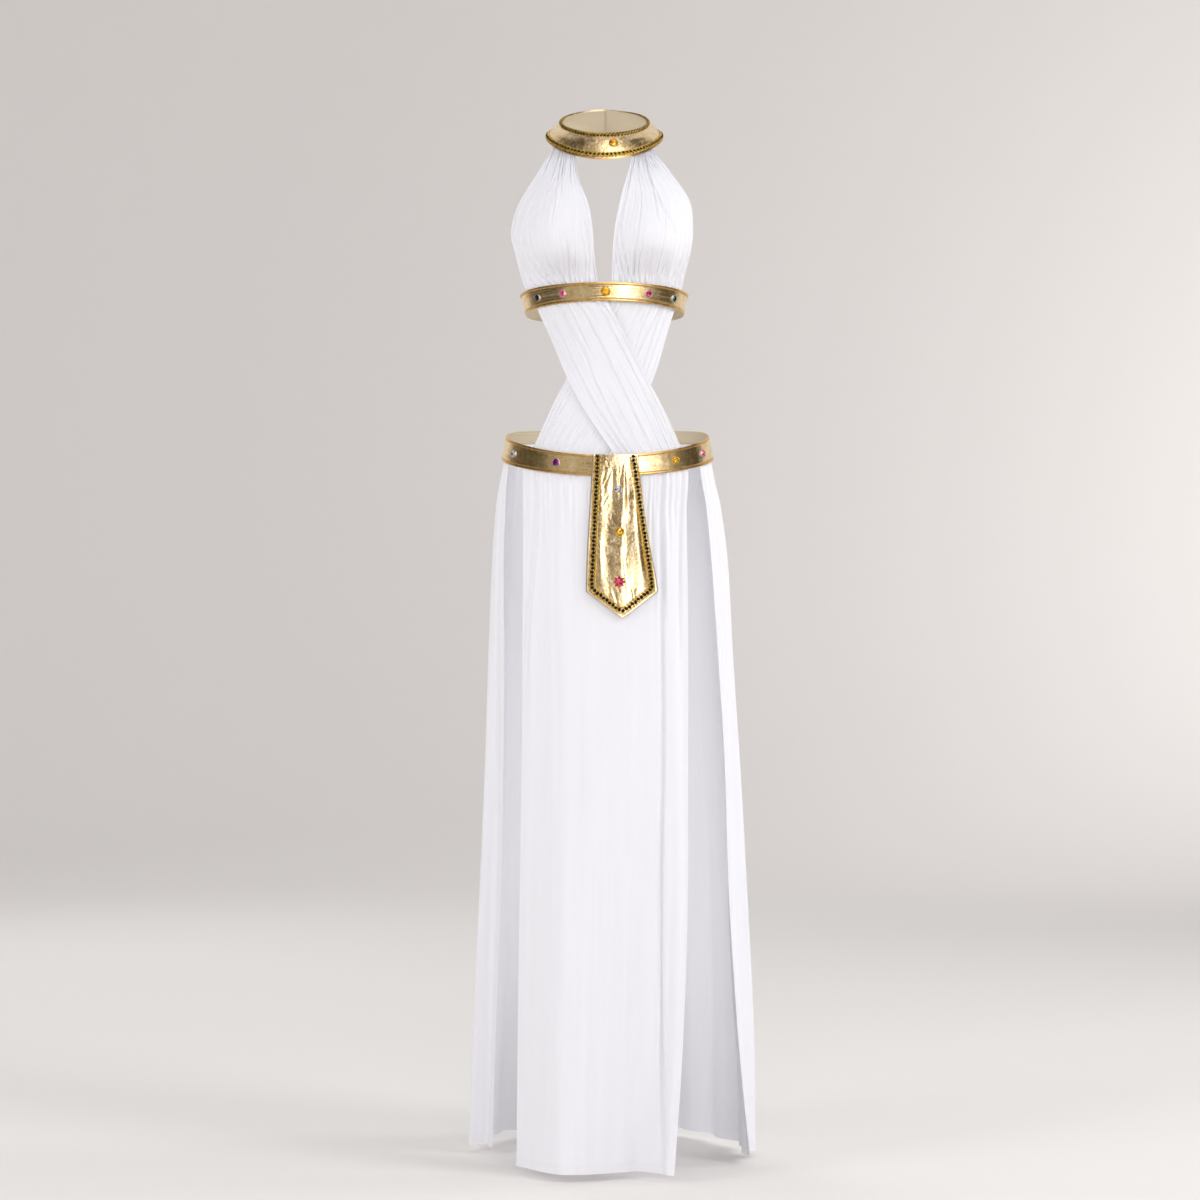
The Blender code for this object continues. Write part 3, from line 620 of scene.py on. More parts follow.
def tubes(name, lines, radius, sides, finishes, slots=None):
    """Cords: a round section along each line of (point, way sideways, way out)."""
    points, faces, ids = [], [], []
    for number, line in enumerate(lines):
        first = len(points)
        for at, side, out in line:
            for k in range(sides):
                turn = 2 * math.pi * k / sides
                points.append(at + (side * math.cos(turn) + out * math.sin(turn)) * radius)
        for r in range(len(line) - 1):
            for k in range(sides):
                near, far = first + r * sides, first + (r + 1) * sides
                after = (k + 1) % sides
                faces.append((near + k, near + after, far + after, far + k))
        last = first + (len(line) - 1) * sides
        faces.append(tuple(first + k for k in reversed(range(sides))))
        faces.append(tuple(last + k for k in range(sides)))
        made = (len(line) - 1) * sides + 2
        ids += [slots[number] if slots else 0] * made
    return mesh_piece(name, points, faces, finishes, ids)


def plant(name, form, seats, finishes, smooth=True):
    """Many small like pieces as one mesh: each seat is its centre and three scaled axes."""
    form_points, form_faces = form
    points, faces = [], []
    for at, x_way, y_way, z_way in seats:
        first = len(points)
        points += [at + x_way * p[0] + y_way * p[1] + z_way * p[2] for p in form_points]
        faces += [tuple(first + i for i in face) for face in form_faces]
    return mesh_piece(name, points, faces, finishes, smooth=smooth)


def round_bead(rings, sides):
    """A bead of unit radius, as rings between two poles."""
    points = [(0.0, 0.0, 1.0)]
    for r in range(1, rings):
        turn = math.pi * r / rings
        for k in range(sides):
            way = 2 * math.pi * (k + 0.5 * (r % 2)) / sides
            points.append(
                (math.sin(turn) * math.cos(way), math.sin(turn) * math.sin(way), math.cos(turn))
            )
    points.append((0.0, 0.0, -1.0))
    faces = []
    for k in range(sides):
        after = (k + 1) % sides
        faces.append((0, 1 + k, 1 + after))
        for r in range(rings - 2):
            near, far = 1 + r * sides, 1 + (r + 1) * sides
            if r % 2 == 0:
                faces += [(near + k, far + k, near + after), (near + after, far + k, far + after)]
            else:
                faces += [(near + k, far + k, far + after), (near + k, far + after, near + after)]
        end = 1 + (rings - 2) * sides
        faces.append((end + after, end + k, len(points) - 1))
    return points, faces


gold_cord, cord_tree, cord_shader = finish("gold_cord", Metallic=0.9)
cord_fibre = clouds(cord_tree, 1400.0, 2.0)
# Painted highlights and dark gaps: the cord's colour goes in random patches from dark brown to bright
# yellow, and is lighter on the crests of its fibre relief.
cord_light_patches = figure(cord_tree, "MULTIPLY_ADD", clouds(cord_tree, 330.0, 1.0), 3.0, -1.15)
cord_light_mask = figure(cord_tree, "MULTIPLY_ADD", cord_fibre, 0.7, cord_light_patches)
cord_light_mask.node.use_clamp = True
tint(cord_tree, cord_shader, cord_light_mask, (0.46, 0.21, 0.01), (1.0, 0.74, 0.20))
cord_gloss = figure(cord_tree, "MULTIPLY_ADD", cord_fibre, 0.2, 0.28)
cord_relief = node(cord_tree, "Bump", Height=cord_fibre, Distance=0.0003)
cord_tree.links.new(cord_gloss, cord_shader.inputs["Roughness"])
cord_tree.links.new(cord_relief.outputs["Normal"], cord_shader.inputs["Normal"])

dark_bead, bead_tree, bead_shader = finish("dark_bead", Metallic=0.0, Specular_IOR_Level=0.22)
bead_cloud = clouds(bead_tree, 420.0, 2.0)
tint(bead_tree, bead_shader, bead_cloud, (0.004, 0.003, 0.002), (0.026, 0.014, 0.006))
bead_gloss = figure(bead_tree, "MULTIPLY_ADD", bead_cloud, 0.25, 0.14)
bead_tree.links.new(bead_gloss, bead_shader.inputs["Roughness"])


def line_round(surface, share, lift, start, end, steps):
    """A line round a trim, as (point, way out) pairs from one angle to another."""
    line = []
    for k in range(steps + 1):
        angle = start + (end - start) * k / steps
        out = outward_at(surface, angle, share)
        line.append((surface(angle, share) + out * lift, out))
    return line


def braid_line(surface, share, lift, steps):
    start = trim_angle(0) + 2 * math.pi * (LAP_STEPS + 0.6) / TRIM_STEPS
    end = math.pi + 2 * math.pi * (LAP_STEPS - 0.4) / TRIM_STEPS
    return line_round(surface, share, lift, start, end, steps)


def bead_row(name, line, pitch, reach, bead, slant, nodes):
    """Beads in a row with a gold cord winding in and out on each side of them."""
    seats = walk(line, pitch)
    turned = []
    for number, (at, ahead, side, out) in enumerate(seats):
        hand = 1 if number % 2 else -1
        tip = slant * hand
        first = ahead * math.cos(tip) + side * math.sin(tip)
        second = side * math.cos(tip) - ahead * math.sin(tip)
        centre = at + out * bead[2] * 0.55 + side * hand * slant * 0.0008
        turned.append((centre, first * bead[0], second * bead[1], out * bead[2]))
    beads = plant(name + "_beads", round_bead(6, 8), turned, [dark_bead])
    cords = []
    path = walk(line, pitch / CORD_STEPS)
    outer_cord = (reach, 0.0004, 0.0006)
    inner_cord = (reach * 0.56, reach * 0.32, 0.0012)
    for hand in (-1, 1):
        for spread_out, sway, rise in (outer_cord, inner_cord):
            cord = []
            for number, (at, ahead, side, out) in enumerate(path):
                phase = math.cos(2 * math.pi * number / CORD_STEPS)
                wide = hand * (spread_out + sway * phase)
                cord.append((at + side * wide + out * rise, side, out))
            cords.append(cord)
    gold = tubes(name + "_cords", cords, CORD_RADIUS, 6, [gold_cord])
    fasten(beads, "bead_braid", *nodes)
    fasten(gold, "gold_braid")


lower_line = braid_line(collar_surface, LOWER_BRAID_SHARE, FOIL_WALL - 0.0002, BRAID_STEPS)
bead_row(
    "collar_lower",
    lower_line,
    BEAD_PITCH,
    COLLAR_BRAID_REACH,
    COLLAR_BEAD,
    0.0,
    ["collar_braid_lower"],
)
upper_line = braid_line(collar_surface, UPPER_BRAID_SHARE, FOIL_WALL + 0.0008, BRAID_STEPS)
twist = []
upper_path = walk(upper_line, TWIST_PITCH / TWIST_STEPS)
for strand in range(4):
    ply = []
    for number, (at, ahead, side, out) in enumerate(upper_path):
        turn = 2 * math.pi * number / TWIST_STEPS + strand * math.pi / 2
        ply.append((at + side * 0.0016 * math.sin(turn) + out * 0.0008 * math.cos(turn), side, out))
    twist.append(ply)
upper_braid = tubes(
    "collar_twist", twist, TWIST_RADIUS, 6, [gold_cord, dark_bead], [0, 1, 0, 1]
)
fasten(upper_braid, "gold_braid", "collar_braid_upper")


# Cups: two pieces of fine white jersey, cut on the length, gathered small behind the collar
# and again behind the under-bust band, with narrow rolled hems at the keyhole and armhole.
Section = namedtuple("Section", "height half_width front back centre")
FORM = (
    Section(-0.050, 0.100, 0.084, 0.082, 0.0000),
    Section(-0.100, 0.126, 0.094, 0.094, 0.0000),
    Section(-0.160, 0.134, 0.100, 0.098, 0.0000),
    Section(-0.210, 0.127, 0.100, 0.094, 0.0000),
    Section(-0.260, 0.1095, 0.097, 0.085, -0.0004),
    Section(-0.300, 0.102, 0.094, 0.080, 0.0015),
    Section(-0.336, 0.098, 0.092, 0.079, 0.0026),
    Section(-0.380, 0.110, 0.095, 0.088, 0.0030),
    Section(-0.420, 0.127, 0.100, 0.100, 0.0036),
    Section(-0.466, 0.140, 0.104, 0.112, 0.0043),
    Section(-0.510, 0.146, 0.106, 0.119, 0.0043),
    Section(-0.560, 0.150, 0.108, 0.122, 0.0043),
)
CUP_OFFSET = 0.0032
CUP_TUCK = 0.0019 + 0.0012 + 0.0015
JERSEY_WALL = 0.0012
JERSEY_THICK = 0.0007
CUP_FLAT = (0.118, 0.205)
Tuck = namedtuple("Tuck", "down share inner_angle outer_angle")
Cup = namedtuple("Cup", "down inner_x inner_height outer_x outer_height")
LEFT_TUCKS = (Tuck(0.000, 0.74, -31, -64), Tuck(0.050, 1.00, -31, -64))
LEFT_CUP = (
    Cup(0.240, -0.0358, -0.0988, -0.0909, -0.0803),
    Cup(0.420, -0.0241, -0.1298, -0.1195, -0.1274),
    Cup(0.580, -0.0179, -0.1627, -0.1305, -0.1650),
    Cup(0.740, -0.0153, -0.1991, -0.1240, -0.1965),
    Cup(0.890, -0.0115, -0.2290, -0.1150, -0.2330),
    Cup(0.950, -0.0095, -0.2410, -0.1095, -0.2475),
    Cup(1.000, -0.0080, -0.2510, -0.1040, -0.2590),
)
RIGHT_TUCKS = (Tuck(0.000, 0.74, 29, 57), Tuck(0.050, 1.00, 29, 57))
RIGHT_CUP = (
    Cup(0.240, 0.0310, -0.0940, 0.0870, -0.0777),
    Cup(0.420, 0.0220, -0.1280, 0.1182, -0.1216),
    Cup(0.580, 0.0150, -0.1650, 0.1222, -0.1600),
    Cup(0.740, 0.0120, -0.1960, 0.1185, -0.1918),
    Cup(0.890, 0.0100, -0.2290, 0.1118, -0.2290),
    Cup(0.950, 0.0097, -0.2410, 0.1080, -0.2475),
    Cup(1.000, 0.0096, -0.2510, 0.1040, -0.2590),
)
# A crease is drawn as (down, across) places on its panel; its width is a share of the panel.
Crease = namedtuple("Crease", "depth width path")
LEFT_CUP_CREASES = (
    Crease(0.0017, 0.021, ((0.0, 0.53), (0.337, 0.400), (0.513, 0.356), (0.68, 0.37))),
    Crease(0.0017, 0.021, ((0.0, 0.64), (0.338, 0.537), (0.495, 0.507), (0.66, 0.491))),
    Crease(
        0.0026,
        0.024,
        ((0.0, 0.95), (0.388, 0.735), (0.506, 0.713), (0.719, 0.78), (0.844, 0.694), (1.0, 0.44)),
    ),
    Crease(
        0.0022,
        0.019,
        ((0.25, 0.93), (0.479, 0.885), (0.756, 0.888), (0.892, 0.833), (1.0, 0.62)),
    ),
    Crease(0.0016, 0.016, ((0.25, 0.99), (0.463, 0.975), (0.70, 0.955), (0.9, 0.93))),
    Crease(
        0.0022,
        0.021,
        ((0.10, 0.86), (0.456, 0.675), (0.6, 0.640), (0.756, 0.644), (0.875, 0.55), (1.0, 0.42)),
    ),
    Crease(0.0013, 0.019, ((0.0, 0.42), (0.242, 0.36), (0.45, 0.26))),
    Crease(
        0.0013,
        0.016,
        ((0.25, 0.13), (0.551, 0.062), (0.714, 0.040), (0.873, 0.065), (1.0, 0.10)),
    ),
    Crease(0.0018, 0.016, ((0.72, 0.52), (0.895, 0.435), (1.0, 0.34))),
    Crease(0.0016, 0.014, ((0.76, 0.40), (0.956, 0.344), (1.0, 0.33))),
    Crease(0.0014, 0.014, ((0.62, 0.24), (0.781, 0.244), (1.0, 0.31))),
    Crease(0.0013, 0.014, ((0.60, 0.17), (0.781, 0.188), (1.0, 0.26))),
    Crease(0.0012, 0.013, ((0.80, 0.155), (1.0, 0.20))),
    Crease(0.0012, 0.013, ((0.72, 0.07), (1.0, 0.14))),
)
RIGHT_CUP_CREASES = (
    Crease(0.0021, 0.021, ((0.0, 0.60), (0.281, 0.45), (0.431, 0.393), (0.66, 0.476))),
    Crease(0.0017, 0.022, ((0.20, 0.44), (0.45, 0.458), (0.594, 0.624), (0.80, 0.68))),
    Crease(
        0.0017,
        0.016,
        ((0.0, 0.10), (0.362, 0.062), (0.525, 0.050), (0.682, 0.085), (0.819, 0.15), (1.0, 0.25)),
    ),
    Crease(0.0015, 0.014, ((0.48, 0.020), (0.699, 0.037), (0.833, 0.096), (1.0, 0.19))),
    Crease(0.0012, 0.016, ((0.58, 0.22), (0.797, 0.233), (1.0, 0.28))),
    Crease(0.0012, 0.018, ((0.05, 0.93), (0.263, 0.93), (0.50, 0.90))),
    Crease(0.0013, 0.013, ((0.66, 0.012), (0.817, 0.046), (1.0, 0.12))),
    Crease(0.0018, 0.018, ((0.52, 0.79), (0.75, 0.863), (0.856, 0.825), (1.0, 0.58))),
    Crease(0.0018, 0.016, ((0.50, 0.90), (0.756, 0.925), (0.865, 0.905), (1.0, 0.70))),
    Crease(0.0014, 0.014, ((0.55, 0.955), (0.777, 0.975), (0.892, 0.965), (1.0, 0.84))),
    Crease(0.0013, 0.016, ((0.78, 0.60), (0.9, 0.557), (1.0, 0.48))),
    Crease(0.0012, 0.014, ((0.80, 0.28), (1.0, 0.32))),
    Crease(0.0012, 0.014, ((0.82, 0.37), (1.0, 0.38))),
    Crease(0.0012, 0.021, ((0.0, 0.29), (0.32, 0.235))),
    Crease(0.0012, 0.021, ((0.0, 0.45), (0.32, 0.345))),
    Crease(0.0013, 0.021, ((0.0, 0.80), (0.28, 0.65))),
)


def read(table, column, height):
    """A named column of a table whose rows go down in height."""
    return spline([-row.height for row in table], [getattr(row, column) for row in table], -height)


def form_point(angle, height, offset):
    half_width = read(FORM, "half_width", height) + offset
    depth = read(FORM, "front" if math.cos(angle) > 0 else "back", height) + offset
    x = read(FORM, "centre", height) + half_width * math.sin(angle)
    return Vector((x, -depth * math.cos(angle), height))


def form_angle(x, height, offset):
    share = (x - read(FORM, "centre", height)) / (read(FORM, "half_width", height) + offset)
    return math.asin(min(max(share, -0.999), 0.999))


CUP_CENTRE = (0.066, -0.183)
CUP_REACH_SIDE = 0.078
CUP_REACH_UP = 0.120
CUP_REACH_DOWN = 0.056
CUP_DEPTH = 0.036


def cup_fullness(x, height):
    """How far a cup stands out from the form, rounded off to nothing at its reach."""
    reach = CUP_REACH_UP if height > CUP_CENTRE[1] else CUP_REACH_DOWN
    aside, above = (abs(x) - CUP_CENTRE[0]) / CUP_REACH_SIDE, (height - CUP_CENTRE[1]) / reach
    return CUP_DEPTH * math.cos(min(math.hypot(aside, above), 1.0) * math.pi / 2) ** 2


def cup_point(tucks, rows, across, down):
    """Through the two sections behind the collar, then those over the form."""
    knots = [tuck.down for tuck in tucks] + [row.down for row in rows]
    points = []
    for tuck in tucks:
        angle = tuck.inner_angle + (tuck.outer_angle - tuck.inner_angle) * across
        points.append(collar_point(math.radians(angle), tuck.share, -CUP_TUCK))
    for row in rows:
        inner = form_angle(row.inner_x, row.inner_height, CUP_OFFSET)
        outer = form_angle(row.outer_x, row.outer_height, CUP_OFFSET)
        angle = inner + (outer - inner) * across
        height = row.inner_height + (row.outer_height - row.inner_height) * across
        flat = form_point(angle, height, CUP_OFFSET)
        full = cup_fullness(flat.x, height)
        points.append(flat + Vector((0.25 * full * math.sin(angle), -full, 0.0)))
    return spline(knots, points, down)


Gathers = namedtuple("Gathers", "count edge reach depth width")


def gathered(seed, *rows):
    """Fine uneven gathers from the sewn edge at down 0 or 1, each with its own length."""
    made = []
    for number, row in enumerate(rows):
        draw = random.Random(seed + number)
        for k in range(row.count):
            start = (k + 0.5 + draw.uniform(-0.32, 0.32)) / row.count
            far = row.reach * draw.uniform(0.35, 1.0)
            lean = draw.uniform(-0.25, 0.25) / row.count
            path = ((0.0, start), (far, start + lean))
            if row.edge == 1:
                path = ((1 - far, start + lean), (1.0, start))
            depth, width = row.depth * draw.uniform(0.55, 1.1), row.width * draw.uniform(0.8, 1.3)
            made.append(Crease(depth, width, path))
    return tuple(made)


def sunk(creases, down):
    """The creases that cross one row, each as its place, its depth there and its width."""
    found = []
    for crease in creases:
        knots = [place[0] for place in crease.path]
        if not knots[0] <= down <= knots[-1]:
            continue
        length = knots[-1] - knots[0]
        begins = 1.0 if knots[0] <= 0 else ease(knots[0], knots[0] + length * 0.45, down)
        ends = 1.0 if knots[-1] >= 1 else 1 - ease(knots[-1] - length * 0.45, knots[-1], down)
        centre = spline(knots, [place[1] for place in crease.path], down)
        found.append((centre, crease.depth * begins * ends, crease.width))
    return found


def trough(found, across):
    """A crease is a soft valley between two low shoulders."""
    total = 0.0
    for centre, depth, width in found:
        u = (across - centre) / width
        if abs(u) < 3.2:
            total -= depth * (1 - 1.1 * u * u) * math.exp(-u * u)
    return total


# The jersey's surface: fine knitted ribs with long soft crinkles along the cloth, shared by
# the cups, the straps and the skirt.
jersey_knit, knit_in, knit_out = effect(
    "jersey_knit",
    (
        ("Cloth", "NodeSocketVector", None),
        ("Ribs", "NodeSocketFloat", 900.0),
        ("Crinkle", "NodeSocketFloat", 260.0),
    ),
    ("Height", "Shade"),
)
knit_axes = node(jersey_knit, "SeparateXYZ", Vector=knit_in.outputs["Cloth"])
rib_turn = figure(jersey_knit, "MULTIPLY", knit_in.outputs["Ribs"], 2 * math.pi)
rib = figure(
    jersey_knit, "SINE", figure(jersey_knit, "MULTIPLY", knit_axes.outputs["X"], rib_turn)
)
long_way = figure(jersey_knit, "MULTIPLY", knit_axes.outputs["Y"], 0.05)
drawn_out = node(jersey_knit, "CombineXYZ", X=knit_axes.outputs["X"], Y=long_way)
crinkle = node(
    jersey_knit,
    "TexNoise",
    Vector=drawn_out.outputs["Vector"],
    Scale=knit_in.outputs["Crinkle"],
    Detail=3.0,
)
# Painted shade: the Shade output is the same crinkle noise that raises the relief, so the cloth's
# colour is darker in the crinkles' hollows.
knit_height = figure(jersey_knit, "MULTIPLY_ADD", rib, 0.12, crinkle.outputs["Fac"])
jersey_knit.links.new(knit_height, knit_out.inputs["Height"])
jersey_knit.links.new(crinkle.outputs["Fac"], knit_out.inputs["Shade"])


def jersey_finish(name, shade, light, depth, crinkle_rate):
    """Matt white jersey with a soft bloom at its edges, its colour painted a darker lilac grey in the
    hollows of its crinkles (painted shade).
    """
    made, tree, shader = finish(
        name, Sheen_Weight=0.10, Sheen_Roughness=0.4, Specular_IOR_Level=0.20
    )
    weave = tree.nodes.new("ShaderNodeTexCoord")
    knit = placed(tree, jersey_knit, Cloth=weave.outputs["UV"], Crinkle=crinkle_rate)
    tint(tree, shader, knit.outputs["Shade"], shade, light)
    matt = figure(tree, "MULTIPLY_ADD", knit.outputs["Shade"], 0.15, 0.72)
    relief = node(tree, "Bump", Height=knit.outputs["Height"], Distance=depth, Strength=0.5)
    tree.links.new(matt, shader.inputs["Roughness"])
    tree.links.new(relief.outputs["Normal"], shader.inputs["Normal"])
    return made


white_jersey = jersey_finish(
    "white_jersey", (0.785, 0.783, 0.830), (0.855, 0.857, 0.900), 0.0010, 240.0
)


def rolled(across, width, height):
    """The narrow rolled hem at both side edges."""
    return height * (bump(across, 0.0, width) + bump(across, 1.0, width))


Drape = namedtuple("Drape", "seat top_held top foot_held foot fullness ripple swing hem roll")
CUP_DRAPE = Drape(JERSEY_WALL, 0.55, 0.10, 0.45, 0.93, 1.3, 0.00035, (9, 5), 0.010, 0.0006)
CUP_GATHERS = (
    Gathers(20, 0, 0.34, 0.0009, 0.015),
    Gathers(30, 1, 0.30, 0.0010, 0.011),
    Gathers(15, 0, 0.92, 0.0007, 0.011),
    Gathers(15, 1, 0.80, 0.0007, 0.010),
)


def draped(drape, creases, seed):
    """Creases and a slow ripple, held flat at both sewn ends, between rolled side hems."""

    def relief(down):
        found = sunk(creases, down)
        calm = 1 - drape.top_held * ease(drape.top, 0.0, down)
        calm -= drape.foot_held * ease(drape.foot, 1.0, down)

        def proud(across):
            place = Vector((across * drape.swing[0], down * drape.swing[1], seed))
            ripple = drape.ripple * noise.noise(place)
            soft = calm * (drape.fullness * trough(found, across) + ripple)
            return drape.seat + soft + rolled(across, drape.hem, drape.roll)

        return proud

    return relief


cup_columns = spread((0.03, 5), (0.97, 156), (1.0, 5))
cup_rows = spread((0.30, 30), (0.70, 26), (1.0, 30))
for name, tucks, rows, creases, seed in (
    ("cup_left", LEFT_TUCKS, LEFT_CUP, LEFT_CUP_CREASES, 11),
    ("cup_right", RIGHT_TUCKS, RIGHT_CUP, RIGHT_CUP_CREASES, 23),
):
    cup_relief = draped(CUP_DRAPE, creases + gathered(seed, *CUP_GATHERS), seed)
    cup = sew(
        name + "_jersey",
        lay(lambda a, d, t=tucks, r=rows: cup_point(t, r, a, d), cup_columns, cup_rows, cup_relief),
        cup_columns,
        cup_rows,
        JERSEY_THICK,
        CUP_FLAT,
        [white_jersey],
    )
    fasten(cup, "white_jersey", name)


# Under-bust band: a straight strip of gold foil cloth, its long edges turned under and
# topstitched, closed with hook-and-loop under the lap at the centre back.
BAND_TOP = Edge(-0.242, -0.251, -0.258)
BAND_BOTTOM = Edge(-0.268, -0.279, -0.284)
TRIM_OFFSET = 0.0069
BAND_FLAT = (0.735, 0.027)
STITCH_PITCH = 0.0030
TOPSTITCH_THICK = 0.00055
TOPSTITCH_SEAT = 0.00055
TOPSTITCH_STEPS = 260
CLOSURE_STITCH_TURNS = (0.0, 0.14)


def trim_point(top, bottom, angle, share):
    height = around(top, angle) * (1 - share) + around(bottom, angle) * share
    return form_point(angle, height, TRIM_OFFSET + lap_lift(angle))


def band_surface(angle, share):
    return trim_point(BAND_TOP, BAND_BOTTOM, angle, share)


thread_form = (
    [(-0.5, 0.0, -0.3), (-0.28, -0.5, 0.1), (-0.28, 0.5, 0.1), (-0.28, 0.0, 0.75)]
    + [(0.28, -0.5, 0.1), (0.28, 0.5, 0.1), (0.28, 0.0, 0.75), (0.5, 0.0, -0.3)],
    [(0, 1, 3), (0, 3, 2), (1, 4, 6, 3), (3, 6, 5, 2), (4, 7, 6), (6, 7, 5)]
    + [(0, 2, 1), (1, 2, 5, 4), (4, 5, 7)],
)


def thread_finish(name, deep, colour, metallic):
    made, tree, shader = finish(name, Metallic=metallic, Roughness=0.5)
    tint(tree, shader, clouds(tree, 2600.0, 2.0), deep, colour)
    return made


gold_thread = thread_finish("gold_thread", (0.40, 0.22, 0.05), (0.72, 0.45, 0.12), 0.2)
white_thread = thread_finish("white_thread", (0.66, 0.65, 0.70), (0.86, 0.85, 0.88), 0.0)


def stitches(name, lines, thickness, thread):
    """Rows of machine stitches: short threads that dip into the cloth at both ends."""
    seats = []
    for line in lines:
        for at, ahead, side, out in walk(line, STITCH_PITCH)[:-1]:
            seats.append(
                (at, ahead * STITCH_PITCH * 0.86, side * thickness, out * thickness * 0.8)
            )
    return plant(name, thread_form, seats, [thread])


def lapped_trim(name, surface, flat, seed):
    """A topstitched strip of foil cloth with its stitching, lapped at the centre back."""
    width, height = flat

    def relief(down):
        fold = folded_relief(down, height, FOLDED_EDGE)

        def proud(across):
            wrinkle = crumple(across * width, down * height, seed)
            calm = ease(0.10, 0.22, min(down, 1 - down))
            end = 0.00030 * bump(1 - across, 0.0, 0.004)
            return FOIL_WALL + fold + wrinkle * (0.35 + 0.65 * calm) + end

        return proud

    share = FOLDED_EDGE / height
    strip = sew(
        name + "_cloth",
        lay(lambda a, d: surface(trim_angle(a), d), trim_columns, TRIM_ROWS, relief),
        trim_columns,
        TRIM_ROWS,
        FOIL_THICK,
        flat,
        [band_foil, foil_edge, foil_backing],
        lambda across, down: 1 if min(down, 1 - down) < share * 1.02 else 0,
    )
    fasten(strip, "gold_foil", name)
    start, end = trim_angle(0.004), trim_angle(0.994)
    seam = share * 1.22
    lift = FOIL_WALL - TOPSTITCH_SEAT
    rows = [line_round(surface, s, lift, start, end, TOPSTITCH_STEPS) for s in (seam, 1 - seam)]
    for angle in (end - turn for turn in CLOSURE_STITCH_TURNS):
        upright = []
        for k in range(9):
            at = seam + (1 - 2 * seam) * k / 8
            out = outward_at(surface, angle, at)
            upright.append((surface(angle, at) + out * (lift + 0.0002), out))
        rows.append(upright)
    fasten(stitches(name + "_topstitch", rows, TOPSTITCH_THICK, gold_thread), "gold_foil")


lapped_trim("bust_band", band_surface, BAND_FLAT, 5.0)


# Crossed straps: two strips of white jersey laid in uneven soft pleats, each running from
# behind one end of the band down across the midriff to behind the belt.
Strap = namedtuple("Strap", "down left_x left_height right_x right_height")
STRAP_OVER = (
    Strap(0.000, -0.0975, -0.2655, -0.0030, -0.2575),
    Strap(0.055, -0.0911, -0.2810, 0.0055, -0.2712),
    Strap(0.230, -0.0747, -0.3181, 0.0282, -0.3141),
    Strap(0.480, -0.0531, -0.3720, 0.0530, -0.3640),
    Strap(0.700, -0.0300, -0.4170, 0.0760, -0.4060),
    Strap(0.870, -0.0060, -0.4540, 0.0930, -0.4410),
    Strap(1.000, 0.0210, -0.4940, 0.1090, -0.4780),
)
STRAP_UNDER = (
    Strap(0.000, -0.0030, -0.2575, 0.1010, -0.2655),
    Strap(0.055, -0.0050, -0.2712, 0.0959, -0.2810),
    Strap(0.230, -0.0260, -0.3141, 0.0856, -0.3160),
    Strap(0.480, -0.0500, -0.3700, 0.0671, -0.3777),
    Strap(0.700, -0.0690, -0.4060, 0.0450, -0.4200),
    Strap(0.870, -0.0850, -0.4410, 0.0240, -0.4560),
    Strap(1.000, -0.1030, -0.4780, 0.0000, -0.4950),
)
STRAP_FLAT = (0.118, 0.262)
STRAP_UNDER_OFFSET = 0.0010
STRAP_OVER_OFFSET = 0.0042
OVER_CREASES = (
    Crease(0.0010, 0.016, ((0.0, 0.035), (0.156, 0.05), (0.265, 0.065), (0.5, 0.10))),
    Crease(0.0015, 0.024, ((0.0, 0.175), (0.388, 0.181), (0.734, 0.158), (1.0, 0.175))),
    Crease(0.0015, 0.024, ((0.0, 0.36), (0.365, 0.372), (0.531, 0.319), (0.869, 0.243), (1.0, 0.228))),
    Crease(0.0010, 0.016, ((0.0, 0.42), (0.205, 0.40), (0.42, 0.41))),
    Crease(0.0011, 0.018, ((0.0, 0.51), (0.198, 0.475), (0.40, 0.45))),
    Crease(0.0015, 0.024, ((0.0, 0.65), (0.364, 0.634), (0.696, 0.577), (1.0, 0.51))),
    Crease(0.0013, 0.022, ((0.0, 0.86), (0.419, 0.868), (0.806, 0.818), (1.0, 0.775))),
    Crease(0.0009, 0.014, ((0.0, 0.935), (0.431, 0.965), (1.0, 0.905))),
    Crease(0.0009, 0.016, ((0.25, 0.73), (0.60, 0.72), (1.0, 0.66))),
    Crease(0.0009, 0.016, ((0.45, 0.44), (0.75, 0.41), (1.0, 0.37))),
    Crease(0.0008, 0.014, ((0.70, 0.07), (1.0, 0.10))),
    Crease(0.0008, 0.012, ((0.60, 0.90), (1.0, 0.84))),
)
UNDER_CREASES = (
    Crease(0.0010, 0.018, ((0.0, 0.45), (0.30, 0.45))),
    Crease(0.0010, 0.018, ((0.0, 0.575), (0.19, 0.585), (0.38, 0.62))),
    Crease(0.0012, 0.020, ((0.0, 0.72), (0.214, 0.679), (0.46, 0.66))),
    Crease(0.0012, 0.020, ((0.0, 0.76), (0.256, 0.776), (0.55, 0.82))),
    Crease(0.0012, 0.018, ((0.0, 0.865), (0.252, 0.86), (0.60, 0.88))),
    Crease(0.0009, 0.013, ((0.0, 0.945), (0.30, 0.945), (0.65, 0.95))),
    Crease(0.0011, 0.016, ((0.45, 0.035), (0.729, 0.030), (1.0, 0.035))),
    Crease(0.0012, 0.018, ((0.50, 0.105), (0.844, 0.085), (1.0, 0.075))),
    Crease(0.0012, 0.020, ((0.52, 0.18), (0.838, 0.13), (1.0, 0.115))),
    Crease(0.0010, 0.018, ((0.76, 0.47), (1.0, 0.36))),
    Crease(0.0010, 0.018, ((0.76, 0.23), (1.0, 0.20))),
    Crease(0.0010, 0.018, ((0.80, 0.56), (1.0, 0.52))),
    Crease(0.0009, 0.018, ((0.70, 0.33), (1.0, 0.285))),
)


STRAP_DRAPE = Drape(
    JERSEY_WALL - 0.0001, 0.5, 0.06, 0.5, 0.94, 1.35, 0.00025, (8, 4), 0.008, 0.0004
)
STRAP_GATHERS = (Gathers(26, 0, 0.22, 0.0005, 0.012), Gathers(26, 1, 0.26, 0.0006, 0.012))


